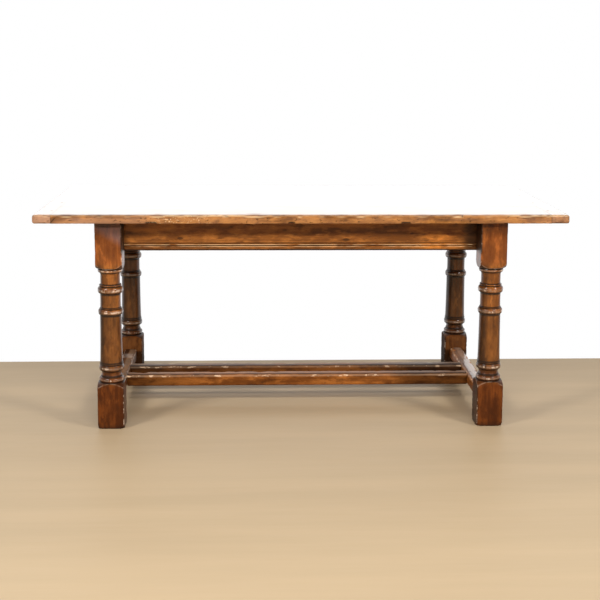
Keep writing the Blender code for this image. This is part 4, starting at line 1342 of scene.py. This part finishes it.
def stretcher_marks(finish, name):
    """Feet have rubbed chips pale on the upper arrises, and a painted highlight runs along them;
    behind them lies a painted dark reflection line. The long stretchers' ends carry painted
    shadows of the legs, the end stretchers' tops a painted reflection and a painted highlight.
    """
    low, high = box_of(name)
    long = name.startswith("long")
    across, axis = (finish.y, Y) if long else (finish.x, X)
    half = (high[axis] - low[axis]) / 2
    from_front = across - (low[axis] + high[axis]) / 2 + half
    from_top = high.z - finish.z
    arris = from_top.rise(0.0110, 0.0050) * from_top.rise(0.0015, 0.0035)
    broken = finish.noise((30, 30, 70), (1, 7, 2), 3.0, 0.6).rise(0.55, 0.63)
    on_top = from_top.rise(0.0020, 0.0008)
    # A painted dark reflection line on the top, behind the front arris.
    line = on_top * from_front.rise(0.003, 0.007) * from_front.rise(0.022, 0.016)
    under = (finish.z - low.z + STRETCHER_DROP).rise(0.004, 0.0)
    # Painted sheen on the rear of the top.
    rear_sheen = on_top * from_front.rise(0.020, 0.026) * 0.16
    # Along the upper arris: chips rubbed pale by feet, and a painted highlight line.
    chip_share, highlight_share = (0.65, 0.12) if name == "long_stretcher_back" else (1.0, 0.22)
    found = {
        "rub": (arris * (broken * chip_share).most(highlight_share)).most(rear_sheen),
        "dirt": (under * 0.6).most(line * (0.75 if long else 0.3)),
    }
    if long:
        # Painted shadows of the legs toward the long stretchers' ends.
        ends = (finish.x.rise(0.30, 0.46) * 0.68).most((-finish.x).rise(0.36, 0.56) * 0.58)
        found["depth"] = 1 - ends
    if name == "end_stretcher_right":
        # Painted reflection of the pale room on the top, and more wax.
        found["haze"] = (on_top * 0.44, (172, 158, 146))
        found["polish"] = on_top
    elif name == "end_stretcher_left":
        # A painted highlight patch near the back end of the top.
        patch = on_top * band(finish.y - 0.20, 0.010, 0.050) * finish.cloud.rise(0.40, 0.60)
        found["haze"] = (patch * 0.45, (206, 192, 180))
        found["dull"] = on_top * 0.4
    return found


# Operators


def top_oak(name, share, along, heart, seed, mottle=0.35):
    """The oak of the top: nearly white where it is rubbed and where a highlight is painted, and
    not very shiny.
    """
    return oak(
        name, tones(Vector(colours().top) * share, worn=(238, 206, 160)), along, heart, seed,
        top_marks, coat=0.0, mottle=mottle, glint=0.2, coat_rough=0.28,
    )


class TABLE_OT_top_boards(bpy.types.Operator):
    """Makes the four boards of the top, worn along the long edges"""

    bl_idname = "table.top_boards"
    bl_label = "Top boards"

    def execute(self, context):
        looks = ((-0.36, 0.66, 1.0), (-0.10, 0.58, 0.80), (0.16, 0.70, 1.14), (0.30, 0.62, 0.88))
        for index, (heart_y, heart_z, share) in enumerate(looks):
            node = f"top_board_{BOARDS[index]}"
            material = top_oak(
                f"top_oak_{BOARDS[index]}", share, X, (heart_y, heart_z), index + 1, 0.8
            )
            hand_in(make_board(index), node, material)
        return {"FINISHED"}


class TABLE_OT_cleats(bpy.types.Operator):
    """Makes the cleats across the ends of the top"""

    bl_idname = "table.cleats"
    bl_label = "Cleats"

    def execute(self, context):
        for end in ("left", "right"):
            material = top_oak(
                f"cleat_oak_{end}", 0.86, Y, (SIDE[end] * 0.86, 0.70), 7 + SIDE[end]
            )
            hand_in(make_cleat(end), f"top_cleat_{end}", material)
        return {"FINISHED"}


class TABLE_OT_legs(bpy.types.Operator):
    """Makes the four turned legs"""

    bl_idname = "table.legs"
    bl_label = "Legs"

    def execute(self, context):
        colour = Vector(colours().legs)
        for number, (face, end) in enumerate(CORNERS):
            # The back legs take a darker copy of the finish: painted shade.
            share = 1.0 if face == "front" else 0.66
            material = oak(
                f"leg_oak_{face}_{end}", tones(colour * share, worn=(240, 212, 186)), Z,
                (SIDE[end] * LEG_X + 0.02, SIDE[face] * LEG_Y + 0.09), 11 + number,
                leg_marks, gloss=0.24, blotch=0.8, coat=0.03, mottle=0.55, coat_ior=1.9,
                glint=0.22, streaks=0.75, dark_clouds=0.85,
            )
            hand_in(make_leg(face, end), f"leg_{face}_{end}", material)
        return {"FINISHED"}


class TABLE_OT_rails(bpy.types.Operator):
    """Makes the moulded friezes and end rails"""

    bl_idname = "table.rails"
    bl_label = "Friezes and end rails"

    def execute(self, context):
        colour = Vector(colours().rails)
        for face in ("front", "back"):
            material = oak(
                f"frieze_oak_{face}", tones(colour, worn=(250, 214, 166)), X,
                (SIDE[face] * 0.20, 0.60), 20 + SIDE[face], rail_marks, gloss=0.26, blotch=0.8,
                mottle=0.6,
            )
            hand_in(make_frieze(face), f"frieze_{face}", material)
        for end in ("left", "right"):
            material = oak(
                f"end_rail_oak_{end}", tones(colour), Y, (SIDE[end] * 0.55, 0.62),
                24 + SIDE[end], rail_marks, gloss=0.28,
            )
            hand_in(make_end_rail(end), f"end_rail_{end}", material)
        return {"FINISHED"}


class TABLE_OT_stretchers(bpy.types.Operator):
    """Makes the low stretchers"""

    bl_idname = "table.stretchers"
    bl_label = "Stretchers"

    def execute(self, context):
        colour = Vector(colours().stretchers)
        for number, (name, along) in enumerate((
            ("end_stretcher_left", Y), ("end_stretcher_right", Y),
            ("long_stretcher_front", X), ("long_stretcher_back", X),
        )):
            low, high = box_of(name)
            other = Y if along == X else X
            heart = ((low[other] + high[other]) / 2 + 0.05, 0.02)
            # The left end stretcher's darker copy is painted shade.
            share = {"long_stretcher_back": 0.49, "end_stretcher_left": 0.36}.get(name, 1.0)
            material = oak(
                f"{name}_oak", tones(colour * share, worn=(240, 204, 166)), along, heart,
                31 + number, partial(stretcher_marks, name=name), gloss=0.36, blotch=0.8,
                mottle=0.6, glint=0.22 if name == "long_stretcher_back" else 0.12,
                coat=0.0, coat_ior=1.8,
            )
            hand_in(make_stretcher(name, along), name, material)
        return {"FINISHED"}


class TABLE_OT_pegs(bpy.types.Operator):
    """Makes the riven pegs of all the joints"""

    bl_idname = "table.pegs"
    bl_label = "Pegs"

    def execute(self, context):
        rand = random.Random(5)
        material = oak(
            "peg_oak", tones(linear((92, 56, 30))), Z, (0.0, 0.0), 50, gloss=0.34
        )
        for node in sorted(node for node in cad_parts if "_peg_" in node):
            hand_in(make_peg(node, rand), node, material, 50)
        return {"FINISHED"}


class TABLE_OT_buttons(bpy.types.Operator):
    """Makes the turn buttons under the top and their screws"""

    bl_idname = "table.buttons"
    bl_label = "Buttons and screws"

    def execute(self, context):
        wood = oak(
            "button_oak", tones(linear((150, 104, 62))), Y, (0.0, 0.60), 60, gloss=0.42
        )
        metal = steel("screw_steel")
        for face in ("front", "back"):
            for place in ("left", "centre", "right"):
                name = f"top_button_{face}_{place}"
                hand_in(make_button(name), name, wood)
                name = f"button_screw_{face}_{place}"
                hand_in(make_screw(name), name, metal)
        return {"FINISHED"}


FLOOR_EDGE, FLOOR_TURN = 0.5254, 0.0029  # where the floor goes white, behind the table
TABLE_MIDDLE = (0, -0.3, 0.55)
LAMPS = (  # name, place, aim, width, height, power, whether gloss mirrors it
    ("lamp_front", (0.1, -4.3, 2.49), TABLE_MIDDLE, 3.2, 0.40, 138, False),
    ("lamp_high_left", (-3.0, -2.9, 3.3), TABLE_MIDDLE, 0.9, 0.9, 98, True),
    ("lamp_high_right", (3.0, -2.9, 3.3), TABLE_MIDDLE, 0.9, 0.9, 98, True),
    ("lamp_behind", (0.0, 1.6, 1.08), (0, 0, 0.98), 3.6, 0.50, 9, True),
)
CAMERA_PLACE = (-0.18161, -4.44855, 1.32511)
YAW, PITCH, ROLL = 0.0425, 0.14192, 0.00588  # in radians: right, down, clockwise
LENS, LENS_SHIFT = 70.77, -0.1335


def soft_box(name, place, aim, width, height, power, mirrored):
    """A large soft lamp that the camera doesn't see."""
    lamp = bpy.data.lights.new(name, "AREA")
    lamp.shape = "RECTANGLE"
    lamp.size, lamp.size_y = width, height
    lamp.energy = power
    obj = bpy.data.objects.new(name, lamp)
    bpy.context.scene.collection.objects.link(obj)
    obj.location = place
    obj.rotation_euler = (Vector(aim) - Vector(place)).to_track_quat("-Z", "Y").to_euler()
    obj.visible_camera = False
    obj.visible_glossy = mirrored


class TABLE_OT_stage(bpy.types.Operator):
    """Makes the plain floor, the soft lamps and the camera"""

    bl_idname = "table.stage"
    bl_label = "Stage"

    def execute(self, context):
        scene = bpy.context.scene
        scene.view_settings.view_transform = "Standard"
        self.make_floor()
        self.make_light(scene)
        self.make_camera(scene)
        return {"FINISHED"}

    def make_floor(self):
        floor = start(
            bpy.ops.mesh.primitive_grid_add, "floor", x_subdivisions=8, y_subdivisions=8, size=60
        )
        finish = Finish("plain_floor")
        line = finish.y - finish.x * FLOOR_TURN
        behind = line.rise(FLOOR_EDGE - 0.003, FLOOR_EDGE + 0.003)
        cloud = finish.noise((0.8, 7.0, 1.0), (0, 0, 0), 3.0)
        pale = Vector(colours().floor)
        colour = finish.mix(cloud.rise(0.3, 0.7), tuple(pale * 0.95), tuple(pale * 1.03))
        colour = finish.mix(behind, colour, (0.8, 0.8, 0.8))
        fine = finish.noise((6, 160, 1), (0, 0, 0), 3.0)
        inputs = {
            "Base Color": colour, "Roughness": (fine * 0.2 + 0.45).held(),
            "Normal": finish.bump(fine, 0.3 * MM, 0.2), "IOR": 1.4,
        }
        shader = finish.add("ShaderNodeBsdfPrincipled", {}, inputs)
        white = finish.add("ShaderNodeEmission", {}, {"Color": (1, 1, 1, 1), "Strength": 1.0})
        shown = behind * finish.seen_by("Camera", "Glossy", "Transmission")
        both = finish.add(
            "ShaderNodeMixShader", {}, {0: shown, 1: shader.outputs[0], 2: white.outputs[0]}
        )
        finish.add("ShaderNodeOutputMaterial", {}, {"Surface": both.outputs[0]})
        floor.data.materials.append(finish.material)

    def make_light(self, scene):
        """A dim room in front, a white wall behind, and large soft lamps."""
        scene.world = bpy.data.worlds.new("white_room")
        room = Nodes(scene.world)
        way = room.parts(room.add("ShaderNodeTexCoord").outputs["Generated"])
        back = way[Y].rise(0.08, 0.50)
        soft = back * 0.24 + way[Z].rise(0.2, 1.0) * 0.20 + 0.07
        mirrored = room.seen_by("Glossy", "Transmission") * (back * 0.84 + 0.16)
        strength = room.seen_by("Camera").most(mirrored.most(soft))
        white = room.add(
            "ShaderNodeBackground", {}, {"Color": (1, 1, 1, 1), "Strength": strength}
        )
        room.add("ShaderNodeOutputWorld", {}, {"Surface": white.outputs[0]})
        for lamp in LAMPS:
            soft_box(*lamp)

    def make_camera(self, scene):
        forward = Vector((
            math.sin(YAW) * math.cos(PITCH), math.cos(YAW) * math.cos(PITCH), -math.sin(PITCH)
        ))
        level = Vector((math.cos(YAW), -math.sin(YAW), 0))
        upright = level.cross(forward)
        right = math.cos(ROLL) * level + math.sin(ROLL) * upright
        up = -math.sin(ROLL) * level + math.cos(ROLL) * upright
        turn = Matrix((right, up, -forward)).transposed().to_4x4()
        data = bpy.data.cameras.new("camera")
        data.sensor_width = 36
        data.lens = LENS
        data.shift_y = LENS_SHIFT
        camera = bpy.data.objects.new("camera", data)
        scene.collection.objects.link(camera)
        camera.matrix_world = Matrix.Translation(CAMERA_PLACE) @ turn
        scene.camera = camera


class TABLE_PT_build(bpy.types.Panel):
    """The table's pieces and values"""

    bl_label = "Refectory Table"
    bl_space_type = "VIEW_3D"
    bl_region_type = "UI"
    bl_category = "Refectory Table"

    def draw(self, context):
        for group in (context.scene.table_sizes, context.scene.table_colours):
            for key in group.bl_rna.properties.keys():
                if key not in ("rna_type", "name"):
                    self.layout.prop(group, key)
        for operator in OPERATORS:
            self.layout.operator(operator.bl_idname)


OPERATORS = (
    TABLE_OT_stage,
    TABLE_OT_top_boards,
    TABLE_OT_cleats,
    TABLE_OT_legs,
    TABLE_OT_rails,
    TABLE_OT_stretchers,
    TABLE_OT_pegs,
    TABLE_OT_buttons,
)
CLASSES = (TableSizes, TableColours, *OPERATORS, TABLE_PT_build)


def register():
    for each in CLASSES:
        bpy.utils.register_class(each)
    bpy.types.Scene.table_sizes = PointerProperty(type=TableSizes)
    bpy.types.Scene.table_colours = PointerProperty(type=TableColours)


def unregister():
    del bpy.types.Scene.table_colours
    del bpy.types.Scene.table_sizes
    for each in reversed(CLASSES):
        bpy.utils.unregister_class(each)


def main():
    register()
    bpy.ops.table.stage()
    bpy.ops.table.top_boards()
    bpy.ops.table.cleats()
    bpy.ops.table.legs()
    bpy.ops.table.rails()
    bpy.ops.table.stretchers()
    bpy.ops.table.pegs()
    bpy.ops.table.buttons()


if __name__ == "__main__":
    main()
